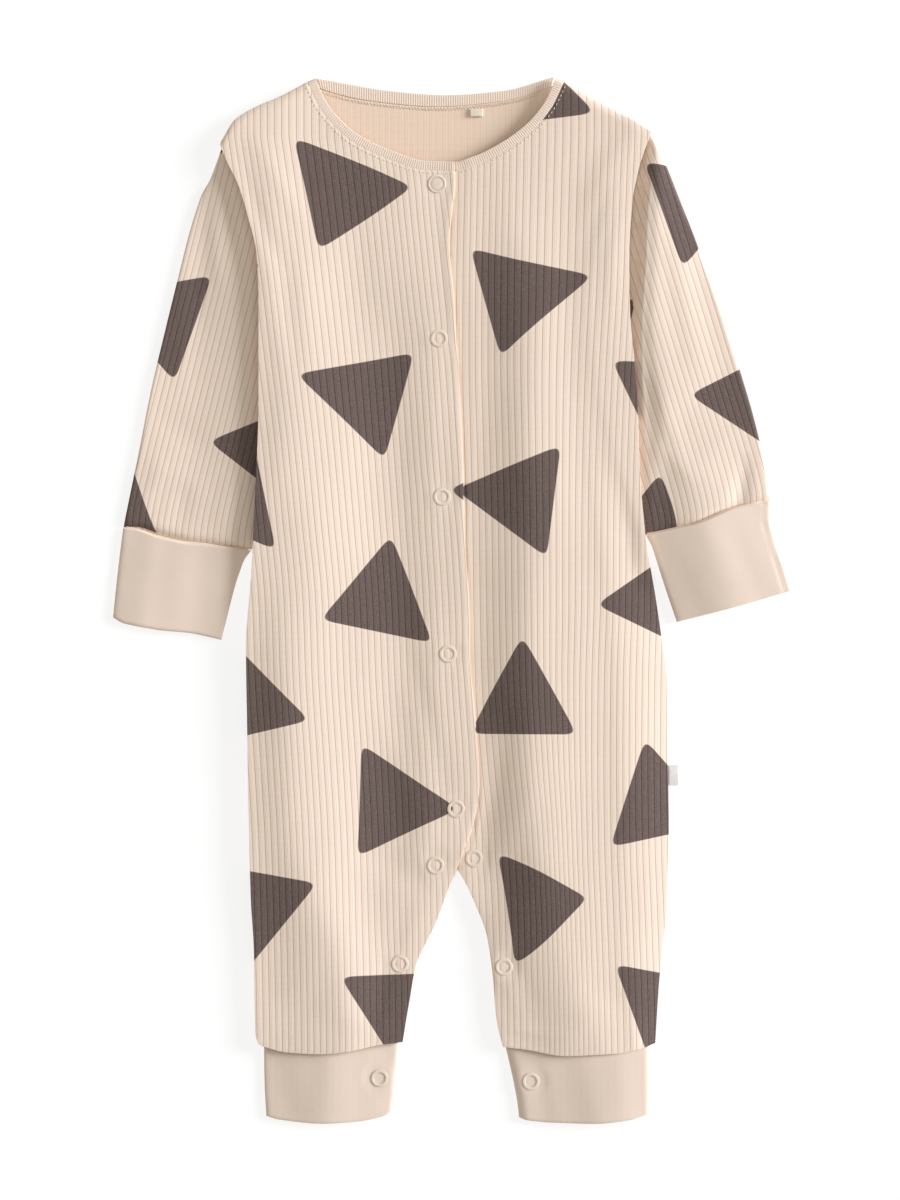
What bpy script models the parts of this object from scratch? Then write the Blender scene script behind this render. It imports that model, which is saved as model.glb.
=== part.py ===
"""Footless rib-knit baby sleepsuit, laid flat on its back.

Plan coordinates are millimetres: x runs to the wearer's left, y runs up to the neck, and z is the
height above the surface that the garment lies on. Right and left are the wearer's. Each piece of
cloth is a wall worked out row by row: a row is a chain of points from one edge to the other, and two
neighbouring chains are joined by a strip of triangles.
"""
import math

import bpy
import numpy as np

MM = 0.001

# Cloth
WALL = 1.2                # rib jersey
BACK_WALL = 1.3           # back panel, which carries the rest
SEAM_GAP = 0.3            # between pieces that meet
HEM_GAP = 0.6             # between a leg and its cuff, whose edges curve
LAYER_GAP = 0.5           # between the back and the front where they lie closest
RIB_PITCH = 3.35
RIB_RAISE = 0.5           # crest of a rib above its groove
RIB_FADE = 2.5            # distance from an edge in which the ribs rise
LIP = 0.7                 # width of the turned edge of a panel
COLUMN_CLEAR = 1.1        # least distance from an edge to the first rib column
COLUMN_SPACE = 0.3        # least space between a regular and a special column, as a share of the pitch
PLAIN_PITCH = 13.4        # columns of a plain face
BACK_INSET = 0.4          # how far the back's sides and shoulders lie inside the front's
SAME_PLACE = 0.01         # two places nearer than this are one
SHARP_ANGLE = math.radians(40)
ROUNDS = 16               # rounds in which a row and an edge are brought together

# Heights of the cloth
PUFF = 2.5                # how far the front stands off the back
PUFF_REACH = 7.0          # distance from an edge in which it rises
HEM_SHARE, HEM_REACH = 0.6, 30.0      # share of the puff at the hem, and the height where it is whole
NECK_START, SHOULDER_START = 4.0, 1.0     # the rise starts this far outside the neckline and the shoulders
SOFTENING = 0.01          # rounds the change from puffed to lifted cloth, in square millimetres
LONG_FADE = 40.0          # length in which a long fold rises and falls
CUFF_REACH = 2.6
WRIST_BASE, WRIST_RISE = 3.2, 2.6
ANKLE_BASE, ANKLE_RISE = 2.8, 2.2
SLEEVE_BASE = 2.6         # top of a flattened sleeve where the body lies on it
SLEEVE_RISE = 2.0
SLEEVE_REACH = 6.0
# Distance past the body's edge in which a sleeve rises
SLEEVE_CLIMB_RIGHT, SLEEVE_CLIMB_LEFT = 14.0, 8.0
SLEEVE_LIFT = 3.4         # how far the body is lifted by the sleeve under it
# The body is lifted whole beyond these x, over the sleeves' inner folds
LIFT_RIGHT, LIFT_LEFT = -78.0, 71.0
LIFT_RAMP = 12.0
LIFT_COLUMNS = (LIFT_RIGHT, LIFT_RIGHT + LIFT_RAMP / 2, LIFT_RIGHT + LIFT_RAMP,
                LIFT_LEFT - LIFT_RAMP, LIFT_LEFT - LIFT_RAMP / 2, LIFT_LEFT)
LIFT_ROWS = (8.0, 17.0, 26.0)         # the lift starts above the first and is whole above the last
FOLD_HEIGHT = 1.4         # height of the folds at a flattened tube's sides
INNER_FLOOR = 1.1         # height of the inside's lower skin in a flattened tube
INNER_FOLD = 1.6          # how far the inside's folds lie in from the outside's
INNER_CLEAR = 2.0         # no inner column lies nearer to the outside's folds
SLEEVE_ROWS, WRIST_ROWS, ANKLE_ROWS = 11, 5, 4

# Placket
PLACKET_WIDTH = 20.0
LAYER_STEP = 2.0          # upper placket layer above the lower one
PLACKET_SINK = 1.2        # how far the lower layer sinks under the upper one
LAP_OUTSIDE, LAP_CLIMB = 12.0, 10.0   # the layers part this far outside the visible edge, in this distance
LAP_INSIDE, LAP_FALL = 2.0, 12.0      # and this far past the hidden edge, in this distance
LAP_BELOW, LAP_RUN = 16.0, 12.0       # and this far below the crotch, in this distance
LAP_OPENING = 25.0        # height above the crotch in which the hidden edge moves in under the lap
CROTCH = (3.2, -143.4)    # x, y where the two legs part

# Poppers
POPPER_SIDES = 14
# Columns: radius, height
RING_PROFILE = [(2.85, 0.0), (4.65, 0.0), (4.65, 0.5), (4.15, 1.1), (3.35, 1.1), (2.85, 0.6)]
CAP_PROFILE = [(0, 0.0), (4.9, 0.0), (4.9, 0.7), (4.2, 1.2), (2.6, 1.5), (0, 1.5)]
PRESSED_FLAT, PRESSED_FADE = 7.5, 12.5    # the cloth is flat up to the first reach, and free at the second
POPPER_ROWS = 6.0         # rows of points above and below a popper

# Neck binding
BINDING_WIDTH = 4.3
BINDING_PROUD = 0.9
BINDING_DEEP = 1.3
BACK_BINDING_TOP = 1.7
BINDING_STATIONS = 15
BINDING_CREST = [(0.18, 0.15), (0.5, 0.0), (0.82, 0.15)]     # columns: share across, drop from the crest
BINDING_SOLE = (0.15, 0.85)           # shares across where the flat underside ends
RIGHT_BINDING, LEFT_BINDING = (-76.3, 1.7), (2.6, 59.6)      # from x to x
BACK_BINDING = (-70.2, 53.4)
NECK_SPAN = (-77.0, 60.5)             # the neckline lies between these x

# Zones of the body's rows: straight between these heights, curved to the hem or the neck beyond them
LEG_ZONE, NECK_ZONE = -205.0, 150.0
HEM_NOMINAL, NECK_NOMINAL = -238.0, 250.0
ROW_STEP = 37.0

SLEEVE_LEAN_RIGHT = math.radians(14.0)
SLEEVE_LEAN_LEFT = math.radians(-17.3)

# Outline of the body. Columns: y, x
RIGHT_SIDE = [
    (240, -122.4), (231, -118.6), (220, -113.2), (203, -107.9), (183, -103.3), (161, -102.2), (105, -102.2),
    (52, -104.1), (14, -106.0), (-26, -108.8), (-68, -108.2), (-118, -107.3), (-159, -106.3),
    (-184, -104.8), (-230, -103.9), (-234, -103.0), (-242, -99.6)]
LEFT_SIDE = [
    (248, 106.0), (229, 99.4), (210, 95.7), (181, 94.1), (151, 94.6), (128, 96.7), (98, 98.8), (75, 99.4),
    (35, 102.6), (0, 108.4), (-22, 111.6), (-44, 114.4), (-84, 114.7), (-122, 115.2), (-159, 114.2),
    (-204, 110.0), (-242, 107.6)]
RIGHT_INSIDE_LEG = [
    (-143.4, 3.2), (-153, -1.3), (-170, -7.7), (-194, -18.3), (-214, -22.5), (-234, -25.8), (-242, -27.0)]
LEFT_INSIDE_LEG = [
    (-143.4, 3.2), (-152, 8.2), (-160, 11.9), (-178, 18.6), (-201, 22.0), (-221, 23.6), (-242, 28.4)]
PLACKET_EDGE = [
    (232, 1.9), (220, 1.9), (205, 0.3), (190, -1.2), (179, -0.6), (159, 1.3), (105, 4.5), (60, 6.5),
    (30, 7.0), (0, 9.2), (-32, 9.9), (-68, 13.0), (-100, 14.8), (-114, 13.0), (-124, 10.3), (-131, 7.2),
    (-143.4, 3.2)]
# Columns: x, y
RIGHT_SHOULDER = [(-122.4, 242.0), (-114.7, 254.1), (-101, 262.3), (-92, 266.0), (-71.8, 277.0)]
LEFT_SHOULDER = [(54.9, 277.2), (75.5, 265.5), (91.4, 256.8), (106.0, 247.6)]
FRONT_NECK = [
    (-76.8, 275.5), (-71, 262.5), (-65.5, 254.7), (-52.2, 242.5), (-32.1, 232.9), (-15.1, 227.7),
    (0.8, 227.1), (14, 230.8), (27.3, 237.2), (43.2, 248.8), (53, 260.6), (60.2, 275.5)]
BACK_NECK = [(-76.8, 277), (-70, 271.5), (-40, 264.4), (-8, 261.8), (25, 264.4), (52, 272), (60.2, 278)]
BACK_NECK_TOP = [(-71.8, 276.9), (-31, 269.9), (-3, 267.9), (28, 270.2), (54.9, 278)]
RIGHT_HEM = [
    (-104, -234.6), (-99, -237.2), (-86, -240.2), (-70, -240.9), (-54, -239.3), (-40, -236.3),
    (-26, -234.4)]
LEFT_HEM = [
    (26, -237.2), (40, -238.8), (60, -241.9), (73, -241.4), (89, -240.4), (100, -238.2), (108, -235.2)]

# Outline of the sleeves. Columns: x, y, from the shoulder to the cuff
RIGHT_SLEEVE_OUTER = [
    (-122.2, 239), (-128, 223.4), (-133.3, 213.3), (-140.7, 189), (-157.4, 120.6), (-166.7, 75),
    (-174.2, 38.4)]
RIGHT_SLEEVE_INNER = [
    (-115.8, 239), (-105.7, 222.3), (-97.3, 204), (-88.2, 183), (-82.4, 161), (-82.4, 136), (-85.6, 105),
    (-92.5, 75), (-98.3, 52), (-105.7, 27.5)]
RIGHT_SLEEVE_TOP = [(-122.2, 238.8), (-115.8, 238.2)]
RIGHT_CUFF_TOP = [
    (-174.2, 38.3), (-166.7, 37.9), (-155.6, 34.2), (-144.4, 31.5), (-130.6, 29.9), (-116.3, 27.8),
    (-105.7, 26.4)]
LEFT_SLEEVE_OUTER = [
    (105.7, 246.5), (111.6, 235.6), (121.1, 211.7), (130.1, 188.9), (145, 147.6), (157.1, 108.4),
    (165.1, 77.6), (169, 52.2)]
LEFT_SLEEVE_INNER = [
    (98.5, 246), (91.5, 222), (83, 200), (77.5, 181), (75, 155), (76, 130), (81, 105), (88, 80), (95.5, 57),
    (102.6, 34.2)]
LEFT_SLEEVE_TOP = [(98.5, 244.0), (105.7, 246.2)]
LEFT_CUFF_TOP = [(102.6, 34.2), (112.6, 36.8), (131.2, 41.1), (148.1, 48.0), (168.9, 52.4)]
# Outline of the cuffs. Columns: x, y, from the top edge to the bottom edge
RIGHT_CUFF_OUTER = [(-174.3, 38.5), (-177.3, 14), (-179.9, -10.9)]
RIGHT_CUFF_INNER = [(-105.9, 26.6), (-110.5, 19.9), (-116.3, 2), (-122.2, -21.5)]
RIGHT_CUFF_END = [(-179.9, -9.6), (-174, -12.8), (-156.1, -16.2), (-135.9, -18.4), (-122.2, -21.5)]
LEFT_CUFF_OUTER = [(169, 52.6), (169.4, 39), (172, 29.4), (176.2, 17.8), (179.9, 5.6)]
LEFT_CUFF_INNER = [(103.3, 34), (106.8, 26.8), (112.6, 8.7), (119.6, -12)]
LEFT_CUFF_END = [(119.6, -12), (150.3, -4.0), (179.9, 4.6)]
RIGHT_ANKLE_OUTER = [(-99.6, -236), (-99.3, -256), (-98.3, -275)]
RIGHT_ANKLE_INNER = [(-27.4, -233), (-29.6, -255), (-31.5, -272)]
RIGHT_ANKLE_END = [
    (-98.3, -274.3), (-90.9, -276.2), (-69.7, -278), (-51.1, -277), (-36, -274.2), (-31.5, -271.6)]
LEFT_ANKLE_OUTER = [(104.9, -235), (105.2, -256), (105, -273)]
LEFT_ANKLE_INNER = [(28.6, -237), (33.1, -257), (35.2, -269), (35.9, -276)]
LEFT_ANKLE_END = [(35.9, -275), (40, -276.4), (54.3, -277.6), (74.5, -278), (94.6, -276), (105, -272.6)]

# Soft folds of the front. Columns: x at the top, x at the bottom, half width, height, lowest y, highest y
SOFT_FOLDS = [
    (-66, -72, 20, 0.6, -190, 205),
    (-34, -32, 13, -0.8, -150, 190),
    (28, 33, 6, -1.0, -165, 125),
    (43, 48, 13, 0.6, -175, 190),
    (69, 66, 10, -0.6, -120, 150)]

# Poppers. Columns: name, x, y, what carries it
POPPERS = [
    ("popper_neck", -7.7, 220.0, "front_right"),
    ("popper_front_1", -6.6, 138.1, "front_right"),
    ("popper_front_2", -5.0, 54.3, "front_right"),
    ("popper_front_3", -1.9, -28.9, "front_right"),
    ("popper_front_4", 2.4, -111.0, "front_right"),
    ("popper_crotch_right", -8.5, -141.0, "front_right"),
    ("popper_crotch_left", 11.9, -137.3, "front_left"),
    ("popper_leg_right", -27.3, -193.2, "front_right"),
    ("popper_leg_left", 27.8, -194.8, "front_left"),
    ("popper_ankle_right", -38.2, -253.9, "ankle_cuff_right"),
    ("popper_ankle_left", 42.1, -255.7, "ankle_cuff_left")]

# Labels: two opposite corners of each
SIDE_LABEL = (115.2, -98.8, 0.0), (120.8, -88.2, 0.9)
SIZE_TAB = (9.8, 256.3, BACK_WALL + SEAM_GAP), (16.7, 260.5, BACK_WALL + SEAM_GAP + 0.8)

# Finishes. Columns: name, linear colour, roughness
FINISHES = {
    "rib_jersey": ((0.78, 0.65, 0.53), 0.92),
    "plain_jersey": ((0.74, 0.61, 0.49), 0.9),
    "fine_rib": ((0.79, 0.66, 0.55), 0.92),
    "popper_resin": ((0.72, 0.62, 0.50), 0.35),
    "label_tape": ((0.85, 0.84, 0.82), 0.8)}


def smooth_curve(table):
    """Cubic pieces through the rows (station, value) of a table, with slopes that never overshoot."""
    rows = np.array(sorted(table), float)
    stations, values = rows[:, 0], rows[:, 1]
    slopes = np.diff(values) / np.diff(stations)
    before, after = slopes[:-1], slopes[1:]
    same_way = before * after > 0
    means = np.where(same_way, 2 * before * after / np.where(same_way, before + after, 1), 0)
    tangents = np.concatenate(([slopes[0]], means, [slopes[-1]]))

    def value(station):
        s = np.clip(station, stations[0], stations[-1])
        i = np.clip(np.searchsorted(stations, s) - 1, 0, len(slopes) - 1)
        span = stations[i + 1] - stations[i]
        t = (s - stations[i]) / span
        start = values[i] * (1 + 2 * t) * (1 - t) ** 2 + tangents[i] * span * t * (1 - t) ** 2
        end = values[i + 1] * t * t * (3 - 2 * t) + tangents[i + 1] * span * t * t * (t - 1)
        return start + end

    return value


def swapped(table):
    """The same table with its two columns changed over."""
    return [(b, a) for a, b in table]


def step(t):
    """0 below 0, 1 above 1, smooth between."""
    t = min(max(t, 0.0), 1.0)
    return t * t * (3 - 2 * t)


right_side = smooth_curve(RIGHT_SIDE)
left_side = smooth_curve(LEFT_SIDE)
right_inside_leg = smooth_curve(RIGHT_INSIDE_LEG)
left_inside_leg = smooth_curve(LEFT_INSIDE_LEG)
placket_edge = smooth_curve(PLACKET_EDGE)
right_shoulder = smooth_curve(RIGHT_SHOULDER)
left_shoulder = smooth_curve(LEFT_SHOULDER)
front_neck = smooth_curve(FRONT_NECK)
back_neck = smooth_curve(BACK_NECK)
back_neck_top = smooth_curve(BACK_NECK_TOP)
right_hem = smooth_curve(RIGHT_HEM)
left_hem = smooth_curve(LEFT_HEM)


def shoulder(x):
    """Height of the shoulder line over x."""
    return right_shoulder(x) if x < 0 else left_shoulder(x)


def hem(x):
    """Height of the leg's lower edge over x."""
    return right_hem(x) if x < 0 else left_hem(x)


def over_neck(x):
    """Whether x lies within the neckline."""
    return NECK_SPAN[0] < x < NECK_SPAN[1]


# ---- heights -------------------------------------------------------------------------------------

def lift(x, y):
    """How far the body is lifted by the sleeves that lie under its sides."""
    right = step((LIFT_RIGHT + LIFT_RAMP - x) / LIFT_RAMP)
    left = step((x - LIFT_LEFT + LIFT_RAMP) / LIFT_RAMP)
    return SLEEVE_LIFT * max(right, left) * step((y - LIFT_ROWS[0]) / (LIFT_ROWS[-1] - LIFT_ROWS[0]))


def inside(x, y):
    """Distance from the nearest edge of the front: sides, shoulder, neck and inside legs."""
    if y > CROTCH[1]:
        fork = math.hypot(x - CROTCH[0], y - CROTCH[1])
    else:
        fork = right_inside_leg(y) - x if x < CROTCH[0] else x - left_inside_leg(y)
    top = shoulder(x) - y + SHOULDER_START
    if over_neck(x):
        top = min(top, front_neck(x) - y + NECK_START)
    return max(0.0, min(x - right_side(y), left_side(y) - x, fork, top))


def soft_folds(x, y):
    """Sum of the long soft folds, each a smooth ridge or trough that fades at both ends."""
    total = 0.0
    for top_x, bottom_x, half_width, height, low, high in SOFT_FOLDS:
        along = (y - low) / (high - low)
        centre = bottom_x + (top_x - bottom_x) * along
        fade = step((y - low) / LONG_FADE) * step((high - y) / LONG_FADE)
        total += height * fade * math.exp(-((x - centre) / half_width) ** 2)
    return total


def near_popper(x, y, carrier):
    """How much the nearest popper on this carrier presses the cloth flat, and that popper's place."""
    best = (0.0, x, y)
    for _, px, py, on in POPPERS:
        reach = math.hypot(x - px, y - py)
        if on == carrier and reach < PRESSED_FADE:
            hold = 1 - step((reach - PRESSED_FLAT) / (PRESSED_FADE - PRESSED_FLAT))
            best = max(best, (hold, px, py))
    return best


def body_height(x, y):
    """Smooth top of the front as if it were one layer."""
    rise = 1 - math.exp(-inside(x, y) / PUFF_REACH)
    hem_dip = HEM_SHARE + (1 - HEM_SHARE) * step((y - hem(x)) / HEM_REACH)
    floor = BACK_WALL + LAYER_GAP + WALL
    puffed = floor + (PUFF + soft_folds(x, y)) * rise * hem_dip
    lifted = floor + lift(x, y)
    return 0.5 * (puffed + lifted + math.sqrt((puffed - lifted) ** 2 + SOFTENING))


def overlap_share(x, y):
    """1 where the two fronts lie on each other at the placket, 0 away from it."""
    under = placket_edge(y) - x
    climb = step((under + LAP_OUTSIDE) / LAP_CLIMB)
    fall = 1 - step((under - PLACKET_WIDTH - LAP_INSIDE) / LAP_FALL)
    return climb * fall * step((y - CROTCH[1] + LAP_BELOW) / LAP_RUN)


def lower_front(x, y):
    """Smooth top of the left front, which sinks where the placket lies on it."""
    return max(BACK_WALL + LAYER_GAP + WALL, body_height(x, y) - PLACKET_SINK * overlap_share(x, y))


def pressed(height, carrier):
    """A height function with the cloth pressed flat round the poppers that it carries."""
    def value(x, y):
        hold, px, py = near_popper(x, y, carrier)
        return height(x, y) if hold == 0 else (1 - hold) * height(x, y) + hold * height(px, py)
    return value


left_front_top = pressed(lower_front, "front_left")


def upper_front(x, y):
    """Smooth top of the right front, which climbs onto the left one at the placket."""
    share = overlap_share(x, y)
    return (1 - share) * body_height(x, y) + share * (left_front_top(x, y) + LAYER_STEP)


right_front_top = pressed(upper_front, "front_right")


def sleeve_top(body_edge, side, rise_width):
    """Smooth top of a sleeve: low under the body, rising past the body's edge, low at the outer fold."""
    def value(x, y, inside_edge):
        past = side * (x - body_edge(y))
        rounding = 1 - math.exp(-inside_edge / SLEEVE_REACH)
        return SLEEVE_BASE + SLEEVE_RISE * step(past / rise_width) * rounding
    return value


def cuff_top(base, rise):
    """Smooth top of a cuff, rounded towards both folds."""
    def value(x, y, inside_edge):
        return base + rise * (1 - math.exp(-inside_edge / CUFF_REACH))
    return value


def ribs(x):
    """Height of the ribs over a position across them: crests a pitch apart, grooves between."""
    return RIB_RAISE * 0.5 * (1 + math.cos(2 * math.pi * x / RIB_PITCH))


# ---- solids --------------------------------------------------------------------------------------

class Shell:
    """Points and triangles of one closed solid."""

    def __init__(self):
        self.points = []
        self.faces = []

    def point(self, station, place):
        self.points.append(place)
        return station, len(self.points) - 1

    def chain(self, stations, places, first=None, last=None):
        """A row of (station, point), between two end points that it may share with other rows."""
        links = [self.point(s, p) for s, p in zip(stations, places)]
        return ([first] if first else []) + links + ([last] if last else [])

    def strip(self, low, high, flip=False):
        """Triangles between two chains, always stepping along the one whose next point comes first."""
        i = j = 0
        while i < len(low) - 1 or j < len(high) - 1:
            step_low = j == len(high) - 1 or (i < len(low) - 1 and low[i + 1][0] <= high[j + 1][0])
            if step_low:
                face = (low[i][1], low[i + 1][1], high[j][1])
                i += 1
            else:
                face = (low[i][1], high[j + 1][1], high[j][1])
                j += 1
            if len(set(face)) == 3:
                self.faces.append(face[::-1] if flip else face)

    def skin(self, rows, flip=False):
        for low, high in zip(rows, rows[1:]):
            self.strip(low, high, flip)

    def plate(self, tops, bottoms):
        """A wall: rows of its top and bottom, whose end points are shared, closed at both ends."""
        self.skin(tops)
        self.skin(bottoms, flip=True)
        self.strip(bottoms[0], tops[0])
        self.strip(bottoms[-1], tops[-1], flip=True)

    def tube(self, tops, bottoms, inner_tops, inner_bottoms):
        """A flattened tube: outer and inner skins, joined by a rim at each open end."""
        self.skin(tops)
        self.skin(bottoms, flip=True)
        self.skin(inner_tops, flip=True)
        self.skin(inner_bottoms)
        for end, flip in ((0, False), (-1, True)):
            self.strip(inner_tops[end], tops[end], flip)
            self.strip(bottoms[end], inner_bottoms[end], flip)

    def build(self, name, finish):
        """The finished object, with its faces pointing outwards."""
        points = np.array(self.points, float) * MM
        corners = points[np.array(self.faces)]
        volume = np.einsum("ij,ij->", corners[:, 0], np.cross(corners[:, 1], corners[:, 2]))
        faces = self.faces if volume > 0 else [face[::-1] for face in self.faces]
        mesh = bpy.data.meshes.new(name)
        mesh.from_pydata(points.tolist(), [], faces)
        mesh.materials.append(finish)
        mesh.shade_smooth()
        mesh.set_sharp_from_angle(angle=SHARP_ANGLE)
        piece = bpy.data.objects.new(name, mesh)
        bpy.context.scene.collection.objects.link(piece)
        return piece


def edge_place(edge, row, level):
    """The point where a row meets an edge: x follows from y and y from x, so the two are run in turn."""
    x = edge(level)
    for _ in range(ROUNDS):
        x = 0.5 * (x + edge(row(x, level)))
    return float(x), float(row(x, level))


def columns_between(low, high, pitch, extra=()):
    """Positions a pitch apart, and the extra ones, that lie well inside two edges."""
    first = math.ceil((low + COLUMN_CLEAR) / pitch)
    last = math.floor((high - COLUMN_CLEAR) / pitch)
    regular = [k * pitch for k in range(first, last + 1)]
    special = [x for x in extra if low + COLUMN_CLEAR < x < high - COLUMN_CLEAR]
    kept = [x for x in regular if all(abs(x - e) > COLUMN_SPACE * pitch for e in special)]
    return sorted(kept + special)


def body_row(neck):
    """y over x and a level: straight across the body, curved to the neck above and the hem below."""
    def value(x, level):
        if level > NECK_ZONE:
            share = (level - NECK_ZONE) / (NECK_NOMINAL - NECK_ZONE)
            return NECK_ZONE + share * (neck(x) - NECK_ZONE)
        if level < LEG_ZONE:
            share = (LEG_ZONE - level) / (LEG_ZONE - HEM_NOMINAL)
            return LEG_ZONE + share * (hem(x) - LEG_ZONE)
        return level
    return value


def wall_rows(shell, spans, row, level, top, bottom, pitch, extra=()):
    """Top and bottom chains of one level of a wall, over one or more spans that share end points."""
    tops, bottoms = [], []
    for span_number, (low_edge, high_edge) in enumerate(spans):
        low = edge_place(low_edge, row, level)
        high = edge_place(high_edge, row, level)
        ends = [tops.pop()] if span_number else []
        bottoms = bottoms[:-1]
        for x, y in (high,) if ends else (low, high):
            ends.append(shell.point(x, (x, y, 0.5 * (top(x, y, 0.0) + bottom(x, y)))))
        fine = [low[0] + LIP] + columns_between(low[0], high[0], pitch, extra) + [high[0] - LIP]
        curved = level > NECK_ZONE or level < LEG_ZONE
        plain_pitch = PLAIN_PITCH / 2 if curved else PLAIN_PITCH
        plain = [low[0] + LIP] + columns_between(low[0], high[0], plain_pitch, extra) + [high[0] - LIP]
        fine_y = [float(row(x, level)) for x in fine]
        plain_y = [float(row(x, level)) for x in plain]
        tops += shell.chain(fine, [(x, y, top(x, y, 1.0)) for x, y in zip(fine, fine_y)], *ends)
        bottoms += shell.chain(plain, [(x, y, bottom(x, y)) for x, y in zip(plain, plain_y)], *ends)
    return tops, bottoms


def levels_between(low, high, fixed):
    """The fixed levels inside a range, its two ends, and even steps where they lie too far apart."""
    marks = sorted({low, high, *[level for level in fixed if low < level < high]})
    levels = [marks[0]]
    for mark in marks[1:]:
        parts = max(1, math.ceil((mark - levels[-1]) / ROW_STEP))
        levels += [levels[-1] + (mark - levels[-1]) * (k + 1) / parts for k in range(parts)]
    return levels


def popper_levels(carrier):
    """A row just above and just below each popper, so that the cloth is flat under it."""
    rows = []
    for _, x, y, on in POPPERS:
        if on != carrier:
            continue
        if y > NECK_ZONE:
            share = (y - POPPER_ROWS - NECK_ZONE) / (front_neck(x) - NECK_ZONE)
            rows.append(NECK_ZONE + share * (NECK_NOMINAL - NECK_ZONE))
        else:
            rows += [y - POPPER_ROWS, y + POPPER_ROWS]
    return rows


def front_panel(name, low_edge, high_edge, neck, smooth_top, finish):
    """One front with its leg: ribs raised on its outer face over a plain inside."""
    shell = Shell()
    row = body_row(neck)

    def top(x, y, full):
        hold = near_popper(x, y, name)[0]
        edge_fade = min(1.0, inside(x, y) / RIB_FADE) if full else 0.0
        return float(smooth_top(x, y) + ribs(x) * (1 - hold) * edge_fade)

    def bottom(x, y):
        return float(smooth_top(x, y) - WALL)

    fixed = [*popper_levels(name), LEG_ZONE, CROTCH[1], *LIFT_ROWS, NECK_ZONE]
    span = [(low_edge, high_edge)]
    rows = [wall_rows(shell, span, row, level, top, bottom, RIB_PITCH / 2, LIFT_COLUMNS)
            for level in levels_between(HEM_NOMINAL, NECK_NOMINAL, fixed)]
    shell.plate([r[0] for r in rows], [r[1] for r in rows])
    return shell.build(name, finish)


def leg_part(chain, leg):
    """The part of the crotch's chain of points that goes on down one leg."""
    fork = next(k for k, (station, _) in enumerate(chain) if abs(station - CROTCH[0]) < SAME_PLACE)
    return chain[:fork + 1] if leg == "right" else chain[fork:]


def back_panel(finish):
    """The back with both legs, flat on the surface but for its sides, which lie on the sleeves."""
    shell = Shell()

    def neck(x):
        top_line = float(shoulder(x)) - BACK_INSET
        return min(top_line, float(back_neck(x))) if over_neck(x) else top_line

    def bottom(x, y):
        return lift(x, y)

    def top(x, y, full):
        return lift(x, y) + BACK_WALL

    def right_edge(y):
        return right_side(y) + BACK_INSET

    def left_edge(y):
        return left_side(y) - BACK_INSET

    row = body_row(neck)
    body, legs = [], {"right": [], "left": []}
    leg_spans = {"right": (right_edge, right_inside_leg), "left": (left_inside_leg, left_edge)}
    levels = levels_between(HEM_NOMINAL, NECK_NOMINAL, [LEG_ZONE, CROTCH[1], *LIFT_ROWS, NECK_ZONE])
    for level in levels:
        if level > CROTCH[1] + SAME_PLACE:
            span = [(right_edge, left_edge)]
            body.append(wall_rows(shell, span, row, level, top, bottom, PLAIN_PITCH, LIFT_COLUMNS))
        elif level > CROTCH[1] - SAME_PLACE:
            crotch = wall_rows(shell, list(leg_spans.values()), row, level, top, bottom, PLAIN_PITCH)
        else:
            for leg, span in leg_spans.items():
                legs[leg].append(wall_rows(shell, [span], row, level, top, bottom, PLAIN_PITCH))
    shell.skin([crotch[0]] + [r[0] for r in body])
    shell.skin([crotch[1]] + [r[1] for r in body], flip=True)
    shell.strip(body[-1][1], body[-1][0], flip=True)
    for leg, rows in legs.items():
        tops, bottoms = (leg_part(chain, leg) for chain in crotch)
        shell.skin([r[0] for r in rows] + [tops])
        shell.skin([r[1] for r in rows] + [bottoms], flip=True)
        shell.strip(rows[0][1], rows[0][0])
    return shell.build("back_panel", finish)


def flat_tube(name, lean, edges, ends, top_height, pitch, row_count, finish, ribbed=False):
    """A flattened sleeve or cuff, worked out in a frame that leans with it.

    u runs across the tube and v along it. Each row lies a share of the way from the low end's curve to
    the high end's. The outside carries the ribs, and the underside and the inside are plain.
    """
    sin, cos = math.sin(lean), math.cos(lean)

    def to_uv(table):
        return [(x * cos - y * sin, x * sin + y * cos) for x, y in table]

    def to_plan(u, v):
        return u * cos + v * sin, v * cos - u * sin

    low_edge = smooth_curve(swapped(to_uv(edges[0])))
    high_edge = smooth_curve(swapped(to_uv(edges[1])))
    low, high = smooth_curve(to_uv(ends[0])), smooth_curve(to_uv(ends[1]))

    def row(u, share):
        return float(low(u) + (high(u) - low(u)) * share)

    shell = Shell()
    skins = ([], [], [], [])
    for number in range(row_count):
        share = number / (row_count - 1)
        start, end = edge_place_on(low_edge, row, share), edge_place_on(high_edge, row, share)

        def smooth(u):
            x, y = to_plan(u, row(u, share))
            return top_height(x, y, max(0.0, min(u - start, end - u)))

        def place(u, z):
            x, y = to_plan(u, row(u, share))
            return (x, y, float(z))

        def folds(inset):
            return [shell.point(u, place(u, FOLD_HEIGHT)) for u in (start + inset, end - inset)]

        fine = [start + LIP] + columns_between(start, end, pitch) + [end - LIP]
        plain = [start + LIP] + columns_between(start, end, PLAIN_PITCH) + [end - LIP]
        inner = columns_between(start + INNER_CLEAR, end - INNER_CLEAR, PLAIN_PITCH)
        inner = inner or [0.5 * (start + end)]
        outer_ends, inner_ends = folds(0), folds(INNER_FOLD)
        crest = [ribs(u) * min(1.0, min(u - start, end - u) / RIB_FADE) if ribbed else 0.0 for u in fine]
        raised_places = [place(u, smooth(u) + c) for u, c in zip(fine, crest)]
        skins[0].append(shell.chain(fine, raised_places, *outer_ends))
        skins[1].append(shell.chain(plain, [place(u, 0) for u in plain], *outer_ends))
        skins[2].append(shell.chain(inner, [place(u, smooth(u) - WALL) for u in inner], *inner_ends))
        skins[3].append(shell.chain(inner, [place(u, INNER_FLOOR) for u in inner], *inner_ends))
    shell.tube(*skins)
    return shell.build(name, finish)


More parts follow.
